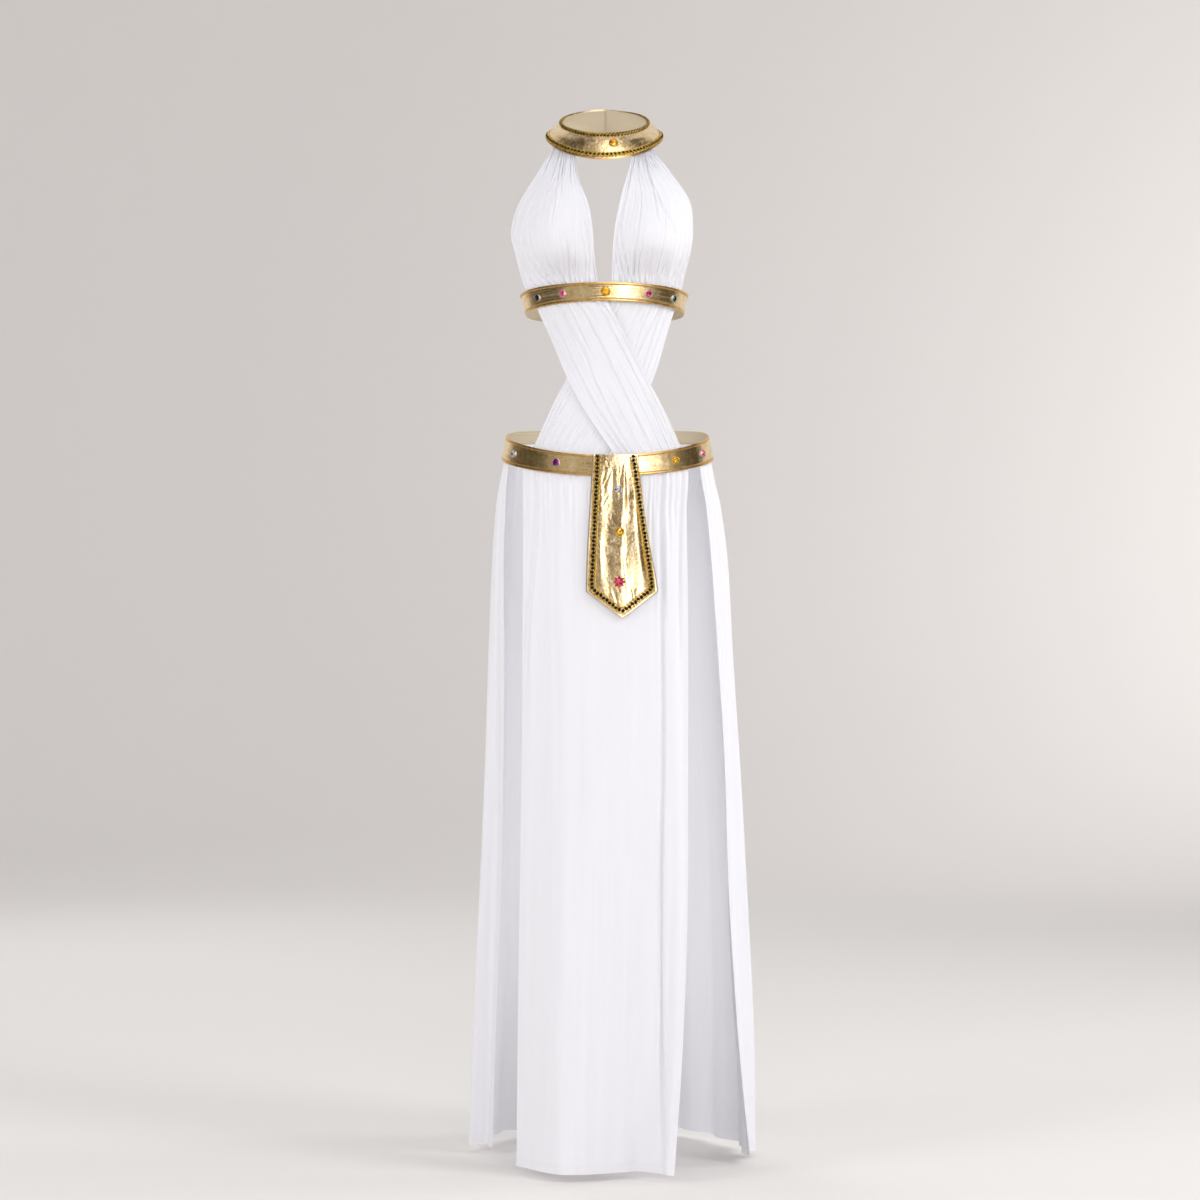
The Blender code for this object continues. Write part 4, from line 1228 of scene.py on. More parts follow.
def strap_point(rows, offset, across, down):
    knots = [row.down for row in rows]

    def column(name):
        return spline(knots, [getattr(row, name) for row in rows], down)

    left_height, right_height = column("left_height"), column("right_height")
    left = form_angle(column("left_x"), left_height, offset)
    right = form_angle(column("right_x"), right_height, offset)
    height = left_height + (right_height - left_height) * across
    return form_point(left + (right - left) * across, height, offset)


strap_columns = spread((0.03, 4), (0.97, 130), (1.0, 4))
strap_rows = spread((1.0, 84))
for name, rows, offset, creases, seed in (
    ("strap_under", STRAP_UNDER, STRAP_UNDER_OFFSET, UNDER_CREASES, 31),
    ("strap_over", STRAP_OVER, STRAP_OVER_OFFSET, OVER_CREASES, 37),
):
    strap_relief = draped(STRAP_DRAPE, creases + gathered(seed, *STRAP_GATHERS), seed)
    strap = sew(
        name + "_jersey",
        lay(
            lambda a, d, r=rows, o=offset: strap_point(r, o, a, d),
            strap_columns,
            strap_rows,
            strap_relief,
        ),
        strap_columns,
        strap_rows,
        JERSEY_THICK,
        STRAP_FLAT,
        [white_jersey],
    )
    fasten(strap, "white_jersey", name)


# Hip belt: made as the band is, of gold foil cloth with its edges turned under, but shaped
# to dip at the centre front and ride high behind. The skirt's two panels are sewn inside it.
BELT_TOP = Edge(-0.484, -0.450, -0.440)
BELT_BOTTOM = Edge(-0.513, -0.485, -0.473)
BELT_FLAT = (0.92, 0.0315)


def belt_surface(angle, share):
    return trim_point(BELT_TOP, BELT_BOTTOM, angle, share)


lapped_trim("hip_belt", belt_surface, BELT_FLAT, 9.0)


# Front panel: one narrow length of white jersey gathered to the belt, hanging straight and
# close, with a turned hem held by two rows of stitches and narrow side hems.
Front = namedtuple(
    "Front", "height left_x left_y left_mid_y middle_y right_mid_y right_x right_y"
)
FRONT_PANEL = (
    Front(-0.480, -0.1120, -0.0700, -0.0990, -0.1070, -0.0985, 0.1150, -0.0690),
    Front(-0.560, -0.1135, -0.0740, -0.1040, -0.1130, -0.1040, 0.1145, -0.0730),
    Front(-0.720, -0.1140, -0.0800, -0.1120, -0.1220, -0.1130, 0.1165, -0.0820),
    Front(-0.910, -0.1152, -0.0860, -0.1240, -0.1340, -0.1260, 0.1160, -0.1000),
    Front(-1.120, -0.1182, -0.0900, -0.1380, -0.1460, -0.1360, 0.1149, -0.1250),
    Front(-1.300, -0.1205, -0.0920, -0.1490, -0.1530, -0.1400, 0.1089, -0.1500),
    Front(-1.478, -0.1222, -0.0940, -0.1580, -0.1580, -0.1350, 0.0995, -0.1720),
)
HEM_HEIGHT = -1.478
HEM_DEEP = 0.0150
HEM_STITCH_THICK = 0.0005
SKIRT_OFFSET = 0.0030
SKIRT_WALL = 0.0015
FRONT_FLAT = (0.262, 0.99)
Fold = namedtuple("Fold", "top bottom depth_top depth_middle depth_bottom width")
FRONT_FOLDS = (
    Fold(0.080, 0.020, 0.0015, 0.0015, 0.0000, 0.030),
    Fold(0.190, 0.280, 0.0010, 0.0022, 0.0028, 0.065),
    Fold(0.360, 0.420, 0.0008, 0.0016, 0.0026, 0.045),
    Fold(0.610, 0.660, 0.0008, 0.0016, 0.0026, 0.045),
    Fold(0.875, 0.970, 0.0012, 0.0060, 0.0090, 0.040),
)
FRONT_CREASES = (
    Crease(0.0030, 0.020, ((0.0, 0.085), (0.125, 0.069), (0.25, 0.026), (0.42, 0.012))),
    Crease(
        0.0010,
        0.034,
        ((0.0, 0.18), (0.212, 0.20), (0.40, 0.222), (0.669, 0.225), (0.85, 0.29), (0.99, 0.33)),
    ),
    Crease(
        0.0050,
        0.019,
        ((0.0, 0.844), (0.20, 0.840), (0.425, 0.848), (0.60, 0.842), (0.80, 0.870), (1.0, 0.935)),
    ),
    Crease(0.0026, 0.016, ((0.0, 0.962), (0.05, 0.965), (0.156, 0.951), (0.32, 0.940))),
    Crease(0.0009, 0.034, ((0.10, 0.37), (0.419, 0.352), (0.75, 0.372))),
    Crease(0.0009, 0.034, ((0.16, 0.61), (0.475, 0.596), (0.90, 0.625))),
    Crease(0.0008, 0.036, ((0.30, 0.48), (0.60, 0.47), (0.95, 0.50))),
    Crease(0.0008, 0.028, ((0.35, 0.74), (0.62, 0.73), (0.88, 0.76))),
    Crease(0.0016, 0.014, ((0.0, 0.022), (0.16, 0.020))),
    Crease(0.0016, 0.014, ((0.0, 0.118), (0.13, 0.122))),
    Crease(0.0013, 0.014, ((0.0, 0.146), (0.10, 0.148))),
    Crease(0.0016, 0.014, ((0.0, 0.245), (0.11, 0.250))),
    Crease(0.0016, 0.014, ((0.0, 0.300), (0.20, 0.303))),
    Crease(0.0013, 0.013, ((0.0, 0.333), (0.09, 0.335))),
    Crease(0.0014, 0.014, ((0.0, 0.757), (0.12, 0.755))),
    Crease(0.0014, 0.013, ((0.0, 0.783), (0.17, 0.785))),
    Crease(0.0012, 0.013, ((0.0, 0.808), (0.09, 0.810))),
    Crease(0.0016, 0.014, ((0.0, 0.885), (0.15, 0.890))),
    Crease(0.0014, 0.014, ((0.0, 0.922), (0.11, 0.925))),
)


def front_depth(across, height):
    """Where the front panel hangs, as Y, before its gathers and folds."""
    names = ("left_y", "left_mid_y", "middle_y", "right_mid_y", "right_y")
    values = [read(FRONT_PANEL, name, height) for name in names]
    return spline((0.0, 0.25, 0.5, 0.75, 1.0), values, across)


def front_point(across, down):
    top_x = FRONT_PANEL[0].left_x * (1 - across) + FRONT_PANEL[0].right_x * across
    angle = form_angle(top_x, -0.49, SKIRT_OFFSET)
    top = around(BELT_TOP, angle) * 0.45 + around(BELT_BOTTOM, angle) * 0.55
    height = top + (HEM_HEIGHT - top) * down
    left, right = read(FRONT_PANEL, "left_x", height), read(FRONT_PANEL, "right_x", height)
    hung = Vector((left + (right - left) * across, front_depth(across, height), height))
    worn = form_point(angle, height, SKIRT_OFFSET)
    return worn.lerp(hung, ease(0.018, 0.07, down))


def long_folds(table, across, down):
    """The sum of the long folds at one place on a panel."""
    total = 0.0
    for fold in table:
        centre = fold.top + (fold.bottom - fold.top) * down
        depths = (fold.depth_top, fold.depth_middle, fold.depth_bottom)
        depth = spline((0.0, 0.5, 1.0), depths, down)
        total += depth * bump(across, centre, fold.width)
    return total * ease(0.03, 0.12, down)


def hemmed(down, across, length, width):
    """The doubled cloth of the hem and of the narrow side hems, and their stitch grooves."""
    up = (1 - down) * length
    side = min(across, 1 - across) * width
    fold = 0.00035 * (1 - ease(HEM_DEEP * 0.96, HEM_DEEP * 1.06, up))
    fold += 0.00025 * (1 - ease(0.0058, 0.0068, side))
    groove = bump(up, HEM_DEEP * 0.90, 0.0006) + bump(up, HEM_DEEP * 0.62, 0.0006)
    return fold - 0.00025 * groove - 0.00020 * bump(side, 0.0054, 0.0007)


skirt_jersey = jersey_finish(
    "skirt_jersey", (0.800, 0.800, 0.845), (0.838, 0.840, 0.882), 0.00010, 110.0
)
front_gathers = gathered(51, Gathers(44, 0, 0.10, 0.0006, 0.0065))
front_columns = spread((0.03, 9), (0.97, 230), (1.0, 9))
front_rows = spread((0.02, 4), (0.30, 40), (0.975, 44), (0.984, 2), (0.992, 7), (1.0, 3))


def front_relief(down):
    found = sunk(FRONT_CREASES + front_gathers, down)
    calm = 1 - 0.75 * ease(0.035, 0.0, down)

    def proud(across):
        ripple = 0.0006 * noise.noise(Vector((across * 7, down * 5, 61.0)))
        edge = 0.9995 * ease(-0.02, 0.02, min(across, 1 - across))
        return (
            SKIRT_WALL
            + calm * (trough(found, across) * edge + ripple)
            + long_folds(FRONT_FOLDS, across, down)
            + hemmed(down, across, FRONT_FLAT[1], 0.235)
        )

    return proud


front_face = lay(front_point, front_columns, front_rows, front_relief)
front_panel = sew(
    "skirt_front_jersey",
    front_face,
    front_columns,
    front_rows,
    JERSEY_THICK,
    FRONT_FLAT,
    [skirt_jersey],
)
fasten(front_panel, "white_jersey", "skirt_front")


def stitch_hem(name, face, down, length):
    """Two rows of stitches along the hem, read from the panel's own outer side."""
    ways, _ = outwards(face)
    lines = []
    for up in (HEM_DEEP * 0.90, HEM_DEEP * 0.62):
        place = 1 - up / length
        r = max(k for k in range(len(down)) if down[k] <= place)
        share = (place - down[r]) / (down[r + 1] - down[r])
        line = []
        for c in range(1, len(face[0]) - 1):
            at = face[r][c].lerp(face[r + 1][c], share)
            line.append((at - ways[r][c] * 0.0001, ways[r][c]))
        lines.append(line)
    fasten(stitches(name, lines, HEM_STITCH_THICK, white_thread), "white_jersey")


stitch_hem("skirt_front_hem_stitches", front_face, front_rows, FRONT_FLAT[1])


# Back panel: a wide length of the same jersey, gathered to the belt from hip to hip round the
# back, so that it wraps both sides and leaves a slit open to the hem on each side.
Back = namedtuple(
    "Back",
    "height left_x left_y left_side_x left_side_y back_y"
    " right_side_x right_side_y right_x right_y",
)
BACK_PANEL = (
    Back(-0.520, -0.1385, -0.0430, -0.1490, 0.0100, 0.1280, 0.1590, 0.0100, 0.1395, -0.0520),
    Back(-0.620, -0.1412, -0.0380, -0.1580, 0.0200, 0.1400, 0.1730, 0.0200, 0.1490, -0.0500),
    Back(-0.770, -0.1405, -0.0280, -0.1650, 0.0350, 0.1520, 0.1810, 0.0300, 0.1588, -0.0480),
    Back(-0.920, -0.1415, -0.0120, -0.1680, 0.0500, 0.1700, 0.1890, 0.0380, 0.1680, -0.0440),
    Back(-1.120, -0.1455, 0.0100, -0.1754, 0.0700, 0.1950, 0.1990, 0.0500, 0.1740, -0.0380),
    Back(-1.300, -0.1530, 0.0300, -0.1830, 0.0900, 0.2200, 0.2045, 0.0580, 0.1860, -0.0340),
    Back(-1.478, -0.1590, 0.0520, -0.1900, 0.1100, 0.2430, 0.2030, 0.0620, 0.2033, -0.0280),
)
BACK_FLAT = (0.80, 1.03)
BACK_FOLDS = 12
BACK_FOLD_DEPTH = 0.0085
BACK_LEFT_ANGLE = -71
BACK_RIGHT_ANGLE = 61
BACK_CREASES = (
    Crease(0.0020, 0.0050, ((0.0, 0.016), (0.30, 0.014), (0.70, 0.018))),
    Crease(0.0018, 0.0060, ((0.0, 0.045), (0.25, 0.050), (0.60, 0.060), (1.0, 0.050))),
    Crease(0.0018, 0.0060, ((0.0, 0.955), (0.30, 0.960), (0.65, 0.975), (1.0, 0.968))),
    Crease(0.0020, 0.0050, ((0.0, 0.983), (0.30, 0.984), (0.60, 0.980), (0.90, 0.970))),
    Crease(0.0026, 0.0055, ((0.45, 0.984), (0.70, 0.978), (1.0, 0.955))),
    Crease(0.0020, 0.0080, ((0.0, 0.200), (0.45, 0.205), (0.85, 0.190))),
    Crease(0.0022, 0.0080, ((0.0, 0.395), (0.50, 0.385), (0.90, 0.400))),
    Crease(0.0020, 0.0070, ((0.0, 0.520), (0.40, 0.530), (0.75, 0.515))),
    Crease(0.0022, 0.0080, ((0.0, 0.665), (0.55, 0.655), (0.95, 0.670))),
    Crease(0.0020, 0.0080, ((0.0, 0.815), (0.45, 0.820), (0.85, 0.810))),
)


def back_point(across, down):
    left, right = math.radians(BACK_LEFT_ANGLE), math.radians(BACK_RIGHT_ANGLE)
    angle = left - (2 * math.pi + left - right) * across
    top = around(BELT_TOP, angle) * 0.45 + around(BELT_BOTTOM, angle) * 0.55
    height = top + (HEM_HEIGHT - top) * down

    def column(name):
        return read(BACK_PANEL, name, height)

    side_y = (column("left_side_y"), column("right_side_y"))
    turn = (0.62 * column("left_side_x"), 0.62 * column("right_side_x"))
    back_y = column("back_y")
    xs = (column("left_x"), column("left_side_x"), turn[0], 0.0, turn[1])
    xs += (column("right_side_x"), column("right_x"))
    ys = (column("left_y"), side_y[0], back_y - 0.22 * (back_y - side_y[0]), back_y)
    ys += (back_y - 0.22 * (back_y - side_y[1]), side_y[1], column("right_y"))
    knots = (0.0, 0.12, 0.30, 0.50, 0.70, 0.88, 1.0)
    hung = Vector((spline(knots, xs, across), spline(knots, ys, across), height))
    worn = form_point(angle, height, SKIRT_OFFSET)
    return worn.lerp(hung, ease(0.018, 0.08, down))


back_gathers = gathered(71, Gathers(96, 0, 0.16, 0.0010, 0.0030))
back_columns = spread((0.01, 8), (0.99, 520), (1.0, 8))
back_rows = spread((0.02, 4), (0.30, 24), (0.975, 26), (0.984, 2), (0.992, 5), (1.0, 2))


def back_relief(down):
    found = sunk(BACK_CREASES + back_gathers, down)
    calm = 1 - 0.75 * ease(0.035, 0.0, down)
    grown = BACK_FOLD_DEPTH * ease(0.04, 0.9, down)

    def proud(across):
        uneven = 0.72 + 0.28 * math.sin(2 * math.pi * 2.3 * across + 0.6)
        edges = ease(0.0, 0.05, across) * (1 - ease(0.95, 1.0, across))
        wave = math.cos(2 * math.pi * BACK_FOLDS * across)
        sway = 0.0016 * edges * noise.noise(Vector((across * 11, down * 2.2, 5.0)))
        ripple = 0.0006 * noise.noise(Vector((across * 24, down * 5, 67.0)))
        return (
            SKIRT_WALL
            + calm * (trough(found, across) + ripple)
            + grown * uneven * (0.25 + 0.75 * edges) * (wave + 0.12 * (wave * wave - 0.5))
            + sway * ease(0.05, 0.4, down)
            + hemmed(down, across, BACK_FLAT[1], 0.80)
        )

    return proud


back_face = lay(back_point, back_columns, back_rows, back_relief)
back_panel = sew(
    "skirt_back_jersey",
    back_face,
    back_columns,
    back_rows,
    JERSEY_THICK,
    BACK_FLAT,
    [skirt_jersey],
)
fasten(back_panel, "white_jersey", "skirt_back")
stitch_hem("skirt_back_hem_stitches", back_face, back_rows, BACK_FLAT[1])


# Tabard: a pointed tongue of gold foil cloth, turned at its edges and a little wrinkled,
# caught into the belt at its top and hanging free over the front panel.
Tabard = namedtuple("Tabard", "height left_x right_x")
TABARD = (
    Tabard(-0.4830, -0.0166, 0.0468),
    Tabard(-0.5140, -0.0182, 0.0495),
    Tabard(-0.5730, -0.0217, 0.0568),
    Tabard(-0.6150, -0.0241, 0.0638),
    Tabard(-0.6742, -0.0258, 0.0745),
    Tabard(-0.7200, -0.0258, 0.0745),
)
TABARD_CORNER_HEIGHT = -0.6742
TABARD_TIP_HEIGHT = -0.7120
TABARD_FLAT = (0.1003, 0.229)
TABARD_THICK = 0.0008
TABARD_TOP_WIDTH = 0.064
TABARD_SPREAD = 0.036
TABARD_LENGTH = 0.20
ORANGE_LINE = 0.0009
PALE_STRIP = 0.0032
TABARD_HANG = 0.0075
SWELL_STEP = 0.0015
Swell = namedtuple("Swell", "down heights")
TABARD_ACROSS = (0, 0.12, 0.2, 0.27, 0.33, 0.43, 0.52, 0.57, 0.62, 0.67, 0.72, 0.8, 0.88, 1)
TABARD_SWELLS = (
    Swell(0.00, (0, 0, 0, 0, 0, 0, 0, 0, 0, 0, 0, 0, 0, 0)),
    Swell(0.06, (0.3, 0.3, 0.2, 0.1, 0, -0.1, -0.2, -0.3, -0.4, -0.4, -0.4, -0.5, -0.5, -0.4)),
    Swell(0.15, (0, 0.1, 0.5, 0, 0.5, -0.2, 0.5, -0.3, 0.3, 0.8, 0, 0.2, 0.7, 0)),
    Swell(0.30, (0, 0, 0.2, -0.4, -0.8, -1.2, -0.4, 0, 0.5, 0, -0.7, 0.1, 0.9, 0)),
    Swell(0.50, (0, 0, 0, -0.5, -0.8, -0.4, 0.2, 0.6, 0, 0.3, 0.8, 1.5, 1.3, 0.2)),
    Swell(0.70, (0, 0, 0.7, -0.4, -0.5, -0.1, 0.4, -0.3, 0, 0.5, 1.0, 1.9, 0.4, 0)),
    Swell(0.88, (0, 0.1, 0.4, 0, -0.4, -0.1, 0.1, -0.3, -0.5, -0.6, 0, 0.5, 0.1, 0)),
    Swell(1.00, (0, 0, 0, 0, 0, 0, 0, 0, 0, 0, 0, 0, 0, 0)),
)
TABARD_CREASES = (
    Crease(0.0008, 0.030, ((0.08, 0.42), (0.15, 0.34), (0.22, 0.27))),
    Crease(0.0006, 0.025, ((0.10, 0.30), (0.16, 0.24), (0.22, 0.20))),
    Crease(0.0006, 0.025, ((0.25, 0.36), (0.30, 0.28), (0.36, 0.21))),
    Crease(0.0007, 0.030, ((0.04, 0.66), (0.10, 0.63), (0.18, 0.60))),
    Crease(0.0006, 0.030, ((0.84, 0.36), (0.92, 0.42), (0.98, 0.46))),
    Crease(0.0007, 0.030, ((0.82, 0.62), (0.90, 0.66), (0.96, 0.66))),
)


def tabard_at(x, height, out):
    """On the tabard's inner face, seen from the front: over the belt, then hanging."""
    on_belt = TRIM_OFFSET + FOIL_WALL + 0.0006
    belt_height = max(height, BELT_BOTTOM.front)
    over = form_point(form_angle(x, belt_height, on_belt), belt_height, on_belt).y
    left, right = read(FRONT_PANEL, "left_x", height), read(FRONT_PANEL, "right_x", height)
    hanging = front_depth((x - left) / (right - left), height) - TABARD_HANG
    depth = over + (hanging - over) * ease(-BELT_BOTTOM.front, 0.580, -height)
    at = Vector((x, depth, height))
    return at + tabard_out(x, height) * out if out else at


def tabard_out(x, height):
    step = 1e-4
    along = tabard_at(x + step, height, 0) - tabard_at(x - step, height, 0)
    fall = tabard_at(x, height - step, 0) - tabard_at(x, height + step, 0)
    return fall.cross(along).normalized()


def tabard_point(across, down):
    point_drop = (TABARD_CORNER_HEIGHT - TABARD_TIP_HEIGHT) * (1 - abs(2 * across - 1))
    top = TABARD[0].height
    height = top + (TABARD_CORNER_HEIGHT - point_drop - top) * down
    left, right = read(TABARD, "left_x", height), read(TABARD, "right_x", height)
    return tabard_at(left + (right - left) * across, height, 0.0)


def tabard_near(across, down):
    """How far a place is from the tabard's nearest edge, in metres."""
    side = min(across, 1 - across) * (TABARD_TOP_WIDTH + TABARD_SPREAD * down)
    return min(side, (1 - down) * TABARD_LENGTH)


def tabard_relief(down):
    found = sunk(TABARD_CREASES, down)
    knots = [row.down for row in TABARD_SWELLS]
    swell = spline(knots, [Vector(row.heights) * SWELL_STEP for row in TABARD_SWELLS], down)

    def proud(across):
        near = tabard_near(across, down)
        turned = 0.00030 * (1 - ease(0.0026, 0.0034, near))
        rounded = -0.00045 * (1 - ease(0.0, 0.0010, near))
        puff = 0.0004 * ease(0.008, 0.022, near)
        wrinkle = noise.noise(Vector((across * 7.5, down * 7.0, 2.0)))
        small = noise.noise(Vector((across * 22, down * 26, 4.0)))
        calm = ease(0.006, 0.014, near)
        return (
            JERSEY_WALL
            - 0.0002
            + turned
            + rounded
            + puff
            + calm * (spline(TABARD_ACROSS, swell, across) + trough(found, across))
            + calm * (0.0002 * wrinkle + 0.00010 * small)
        )

    return proud


def tabard_zone(across, down):
    """The folded edge is a thin orange line, and pale from there to the braid."""
    near = tabard_near(across, down)
    return 1 if near < ORANGE_LINE else 2 if near < PALE_STRIP else 0


tabard_columns = spread((0.05, 6), (0.95, 84), (1.0, 6))
tabard_rows = spread((0.02, 2), (0.97, 150), (1.0, 8))
tabard = sew(
    "tabard_cloth",
    lay(tabard_point, tabard_columns, tabard_rows, tabard_relief),
    tabard_columns,
    tabard_rows,
    TABARD_THICK,
    TABARD_FLAT,
    [gold_foil, foil_edge, pale_foil, foil_backing],
    tabard_zone,
)
fasten(tabard, "gold_foil", "tabard")

Corner = namedtuple("Corner", "x height")
TABARD_BRAID_CORNERS = (
    Corner(-0.0095, -0.4860),
    Corner(-0.0180, -0.6700),
    Corner(0.0240, -0.7030),
    Corner(0.0658, -0.6700),
    Corner(0.0395, -0.4860),
)
TABARD_BRAID_ROUNDING = 0.007
TABARD_BRAID_REACH = 0.0044
TABARD_BEAD_PITCH = 0.0054
TABARD_BEAD = (0.0022, 0.0029, 0.0023)
TABARD_BEAD_SLANT = 0.65
corners = [Vector(corner) for corner in TABARD_BRAID_CORNERS]
flat_line = [corners[0]]
for before, corner, after in zip(corners, corners[1:], corners[2:]):
    start = corner + (before - corner).normalized() * TABARD_BRAID_ROUNDING
    end = corner + (after - corner).normalized() * TABARD_BRAID_ROUNDING
    for k in range(9):
        first, second = start.lerp(corner, k / 8), corner.lerp(end, k / 8)
        flat_line.append(first.lerp(second, k / 8))
flat_line.append(corners[-1])
braid_path = []
for first, second in zip(flat_line, flat_line[1:]):
    pieces = max(1, round((second - first).length / 0.003))
    braid_path += [first.lerp(second, k / pieces) for k in range(pieces)]
braid_path.append(flat_line[-1])
tabard_line = [(tabard_at(*spot, JERSEY_WALL + 0.0001), tabard_out(*spot)) for spot in braid_path]
bead_row(
    "tabard_edge",
    tabard_line,
    TABARD_BEAD_PITCH,
    TABARD_BRAID_REACH,
    TABARD_BEAD,
    TABARD_BEAD_SLANT,
    ["tabard_braid"],
)


# Stones: thirteen cut acrylic stones with flat foiled backs. Each sits in a thin cast rim
# that is glued to the foil cloth, but the star on the tabard is glued down without one.
Stone = namedtuple("Stone", "name angle radius colour")
TRIM_STONES = (
    (collar_surface, 0.44, (Stone("collar_gem", 10, 0.0060, "gem_amber"),)),
    (
        band_surface,
        0.5,
        (
            Stone("band_gem_1", -52.8, 0.0048, "gem_navy"),
            Stone("band_gem_2", -29.7, 0.0053, "gem_pink"),
            Stone("band_gem_3", 0.8, 0.0065, "gem_amber"),
            Stone("band_gem_4", 31.4, 0.0050, "gem_magenta"),
            Stone("band_gem_5", 56.5, 0.0048, "gem_green"),
        ),
    ),
    (
        belt_surface,
        0.5,
        (
            Stone("belt_gem_1", -61.7, 0.0052, "gem_clear"),
            Stone("belt_gem_2", -28.3, 0.0052, "gem_purple"),
            Stone("belt_gem_3", 38.9, 0.0053, "gem_amber"),
            Stone("belt_gem_4", 63.3, 0.0052, "gem_pink"),
        ),
    ),
)
TabardStone = namedtuple("TabardStone", "name x height radius colour")
TABARD_STONES = (
    TabardStone("tabard_gem_clear", 0.0186, -0.5313, 0.0053, "gem_clear"),
    TabardStone("tabard_gem_amber", 0.0204, -0.5913, 0.0060, "gem_amber"),
    TabardStone("tabard_gem_star", 0.0204, -0.6612, 0.0092, "gem_red"),
)
# Painted reflections and glints: each stone's colour is painted between a deep and a bright tone cell
# by cell, and a few cells are painted near white.
STONE_COLOURS = {
    "gem_clear": ((0.16, 0.17, 0.19, 1), (1.00, 1.00, 1.00, 1)),
    "gem_amber": ((0.50, 0.16, 0.00, 1), (1.00, 0.66, 0.06, 1)),
    "gem_navy": ((0.003, 0.004, 0.012, 1), (0.03, 0.05, 0.16, 1)),
    "gem_pink": ((0.60, 0.03, 0.13, 1), (1.00, 0.36, 0.52, 1)),
    "gem_magenta": ((0.24, 0.002, 0.07, 1), (0.80, 0.02, 0.24, 1)),
    "gem_green": ((0.002, 0.020, 0.018, 1), (0.03, 0.16, 0.15, 1)),
    "gem_purple": ((0.06, 0.002, 0.07, 1), (0.38, 0.02, 0.36, 1)),
    "gem_red": ((0.60, 0.01, 0.05, 1), (1.00, 0.14, 0.26, 1)),
}

painted_facet_light, fire_in, fire_out = effect(
    "painted_facet_light",
    (("Place", "NodeSocketVector", None), ("Cuts", "NodeSocketFloat", 420.0)),
    ("Painted Fire", "Painted Spark"),
)
fire_cells = node(
    painted_facet_light,
    "TexVoronoi",
    Vector=fire_in.outputs["Place"],
    Scale=fire_in.outputs["Cuts"],
)
fire_tone = node(painted_facet_light, "SeparateColor", Color=fire_cells.outputs["Color"])
# Painted light: these masks pick the brighter cells, as painted reflections, and the near-white cells,
# as painted glints.
painted_fire = figure(painted_facet_light, "MULTIPLY_ADD", fire_tone.outputs["Red"], 1.9, -0.45)
painted_spark = figure(painted_facet_light, "MULTIPLY_ADD", fire_tone.outputs["Green"], 4.0, -3.5)
painted_fire.node.use_clamp = painted_spark.node.use_clamp = True
painted_facet_light.links.new(painted_fire, fire_out.inputs["Painted Fire"])
painted_facet_light.links.new(painted_spark, fire_out.inputs["Painted Spark"])

stone_finishes = {}
for name, (deep, bright) in STONE_COLOURS.items():
    made, tree, shader = finish(
        name, Metallic=0.7, Coat_Weight=0.12, Coat_Roughness=0.03, Specular_IOR_Level=0.3
    )
    place = tree.nodes.new("ShaderNodeTexCoord")
    painted_fire = placed(tree, painted_facet_light, Place=place.outputs["Object"])
    tone = node(tree, "MixRGB", Fac=painted_fire.outputs["Painted Fire"], Color1=deep, Color2=bright)
    painted_glint = node(
        tree,
        "MixRGB",
        Fac=painted_fire.outputs["Painted Spark"],
        Color1=tone.outputs["Color"],
        Color2=(1.0, 0.97, 0.94, 1),
    )
    gloss = figure(tree, "MULTIPLY_ADD", painted_fire.outputs["Painted Fire"], 0.12, 0.04)
    tree.links.new(painted_glint.outputs["Color"], shader.inputs["Base Color"])
    tree.links.new(gloss, shader.inputs["Roughness"])
    stone_finishes[name] = made

silver_rim, rim_tree, rim_shader = finish("silver_rim", Metallic=1.0, Roughness=0.3)
rim_cloud = clouds(rim_tree, 700.0, 2.0)
tint(rim_tree, rim_shader, rim_cloud, (0.62, 0.60, 0.58), (0.95, 0.94, 0.93))


def cut_stone(radius):
    """A round brilliant top: table, eight star and sixteen girdle facets, over a flat back."""
    points, faces = [], []

    def ring(count, reach, rise, offset=0.0):
        first = len(points)
        for k in range(count):
            turn = 2 * math.pi * (k + offset) / count
            points.append((reach * math.cos(turn), reach * math.sin(turn), rise))
        return first

    back = ring(16, radius * 0.97, -0.0006)
    girdle = ring(16, radius, radius * 0.14)
    crown = ring(8, radius * 0.80, radius * 0.38, 0.5)
    table = ring(8, radius * 0.52, radius * 0.52)
    for k in range(16):
        after = (k + 1) % 16
        faces.append((back + k, back + after, girdle + after, girdle + k))
    for k in range(8):
        after, far = (k + 1) % 8, (2 * k + 2) % 16
        faces.append((girdle + 2 * k, girdle + 2 * k + 1, crown + k))
        faces.append((girdle + 2 * k + 1, girdle + far, crown + k))
        faces.append((crown + k, girdle + far, crown + after))
        faces.append((crown + k, crown + after, table + after))
        faces.append((crown + k, table + after, table + k))
    faces.append(tuple(table + k for k in range(8)))
    faces.append(tuple(back + k for k in reversed(range(16))))
    return points, faces


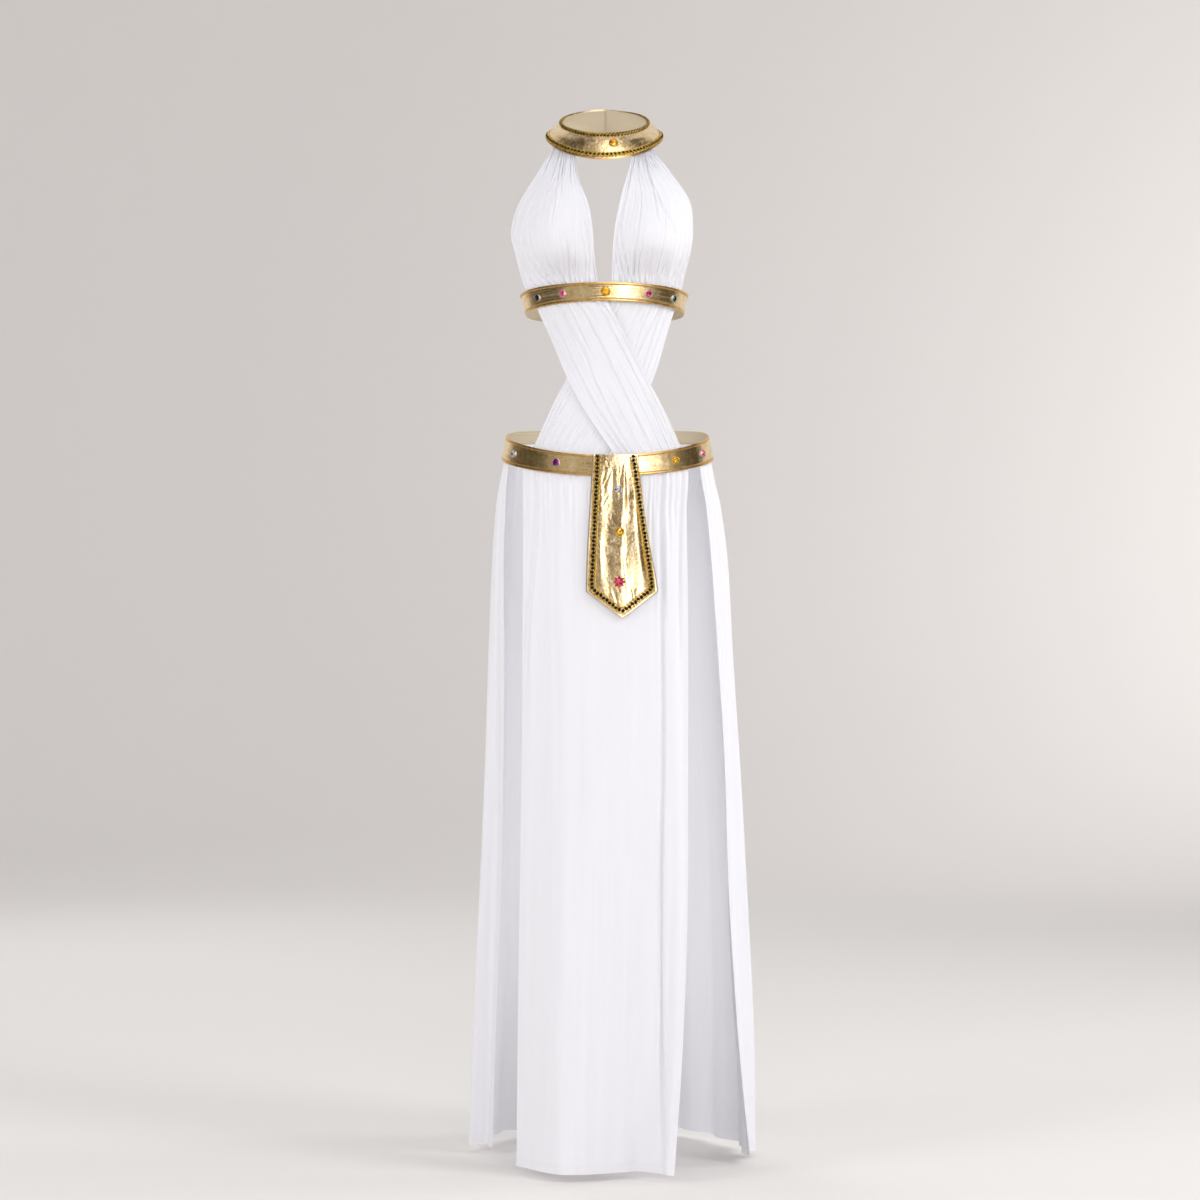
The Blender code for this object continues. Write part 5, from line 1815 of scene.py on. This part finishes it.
def cut_star(radius):
    """Eight points, each with a sharp ridge down from a low peak."""
    points = [(0.0, 0.0, radius * 0.46), (0.0, 0.0, -0.0006)]
    for rise in (-0.0006, radius * 0.16):
        for k in range(16):
            reach = radius * (1.0 if k % 2 == 0 else 0.62)
            turn = 2 * math.pi * k / 16
            points.append((reach * math.cos(turn), reach * math.sin(turn), rise))
    faces = []
    for k in range(16):
        after = (k + 1) % 16
        faces.append((2 + k, 2 + after, 18 + after, 18 + k))
        faces.append((18 + k, 18 + after, 0))
        faces.append((2 + after, 2 + k, 1))
    return points, faces


def rim_of(radius):
    """A thin rounded cast rim with small beads of metal round its top."""
    points, faces = [], []
    section = ((1.00, -0.0010), (1.14, -0.0008), (1.16, 0.0006), (1.07, 0.0013), (0.98, 0.0010))
    sides = 32
    for k in range(sides):
        turn = 2 * math.pi * k / sides
        swell = 1 + 0.025 * math.cos(16 * turn)
        for reach, rise in section:
            points.append(
                (radius * reach * swell * math.cos(turn), radius * reach * swell * math.sin(turn), rise)
            )
    count = len(section)
    for k in range(sides):
        near, far = k * count, (k + 1) % sides * count
        for i in range(count):
            after = (i + 1) % count
            faces.append((near + i, far + i, far + after, near + after))
    return points, faces


def set_stone(gem, at, out):
    """A cut stone and its rim on a trim, both flat against the foil."""
    side = out.cross(Vector((0, 0, 1))).normalized()
    seat = [(at, side, out.cross(side), out)]
    is_star = gem.colour == "gem_red"
    form = cut_star(gem.radius) if is_star else cut_stone(gem.radius)
    jewel = plant(gem.name + "_stone", form, seat, [stone_finishes[gem.colour]], smooth=False)
    fasten(jewel, gem.colour, gem.name)
    if not is_star:
        metal = gold_cord if gem.colour == "gem_amber" else silver_rim
        rim = plant(gem.name + "_rim", rim_of(gem.radius * 0.94), seat, [metal])
        fasten(rim, "gold_braid")


for surface, share, stones in TRIM_STONES:
    for gem in stones:
        angle = math.radians(gem.angle)
        out = outward_at(surface, angle, share)
        set_stone(gem, surface(angle, share) + out * (FOIL_WALL + SEAM_GAP * 0.5), out)
for gem in TABARD_STONES:
    left, right = read(TABARD, "left_x", gem.height), read(TABARD, "right_x", gem.height)
    across = (gem.x - left) / (right - left)
    drop = (TABARD_CORNER_HEIGHT - TABARD_TIP_HEIGHT) * (1 - abs(2 * across - 1))
    top = TABARD[0].height
    down = (top - gem.height) / (top - TABARD_CORNER_HEIGHT + drop)
    at = tabard_at(gem.x, gem.height, tabard_relief(down)(across) + 0.0009)
    set_stone(gem, at, tabard_out(gem.x, gem.height))
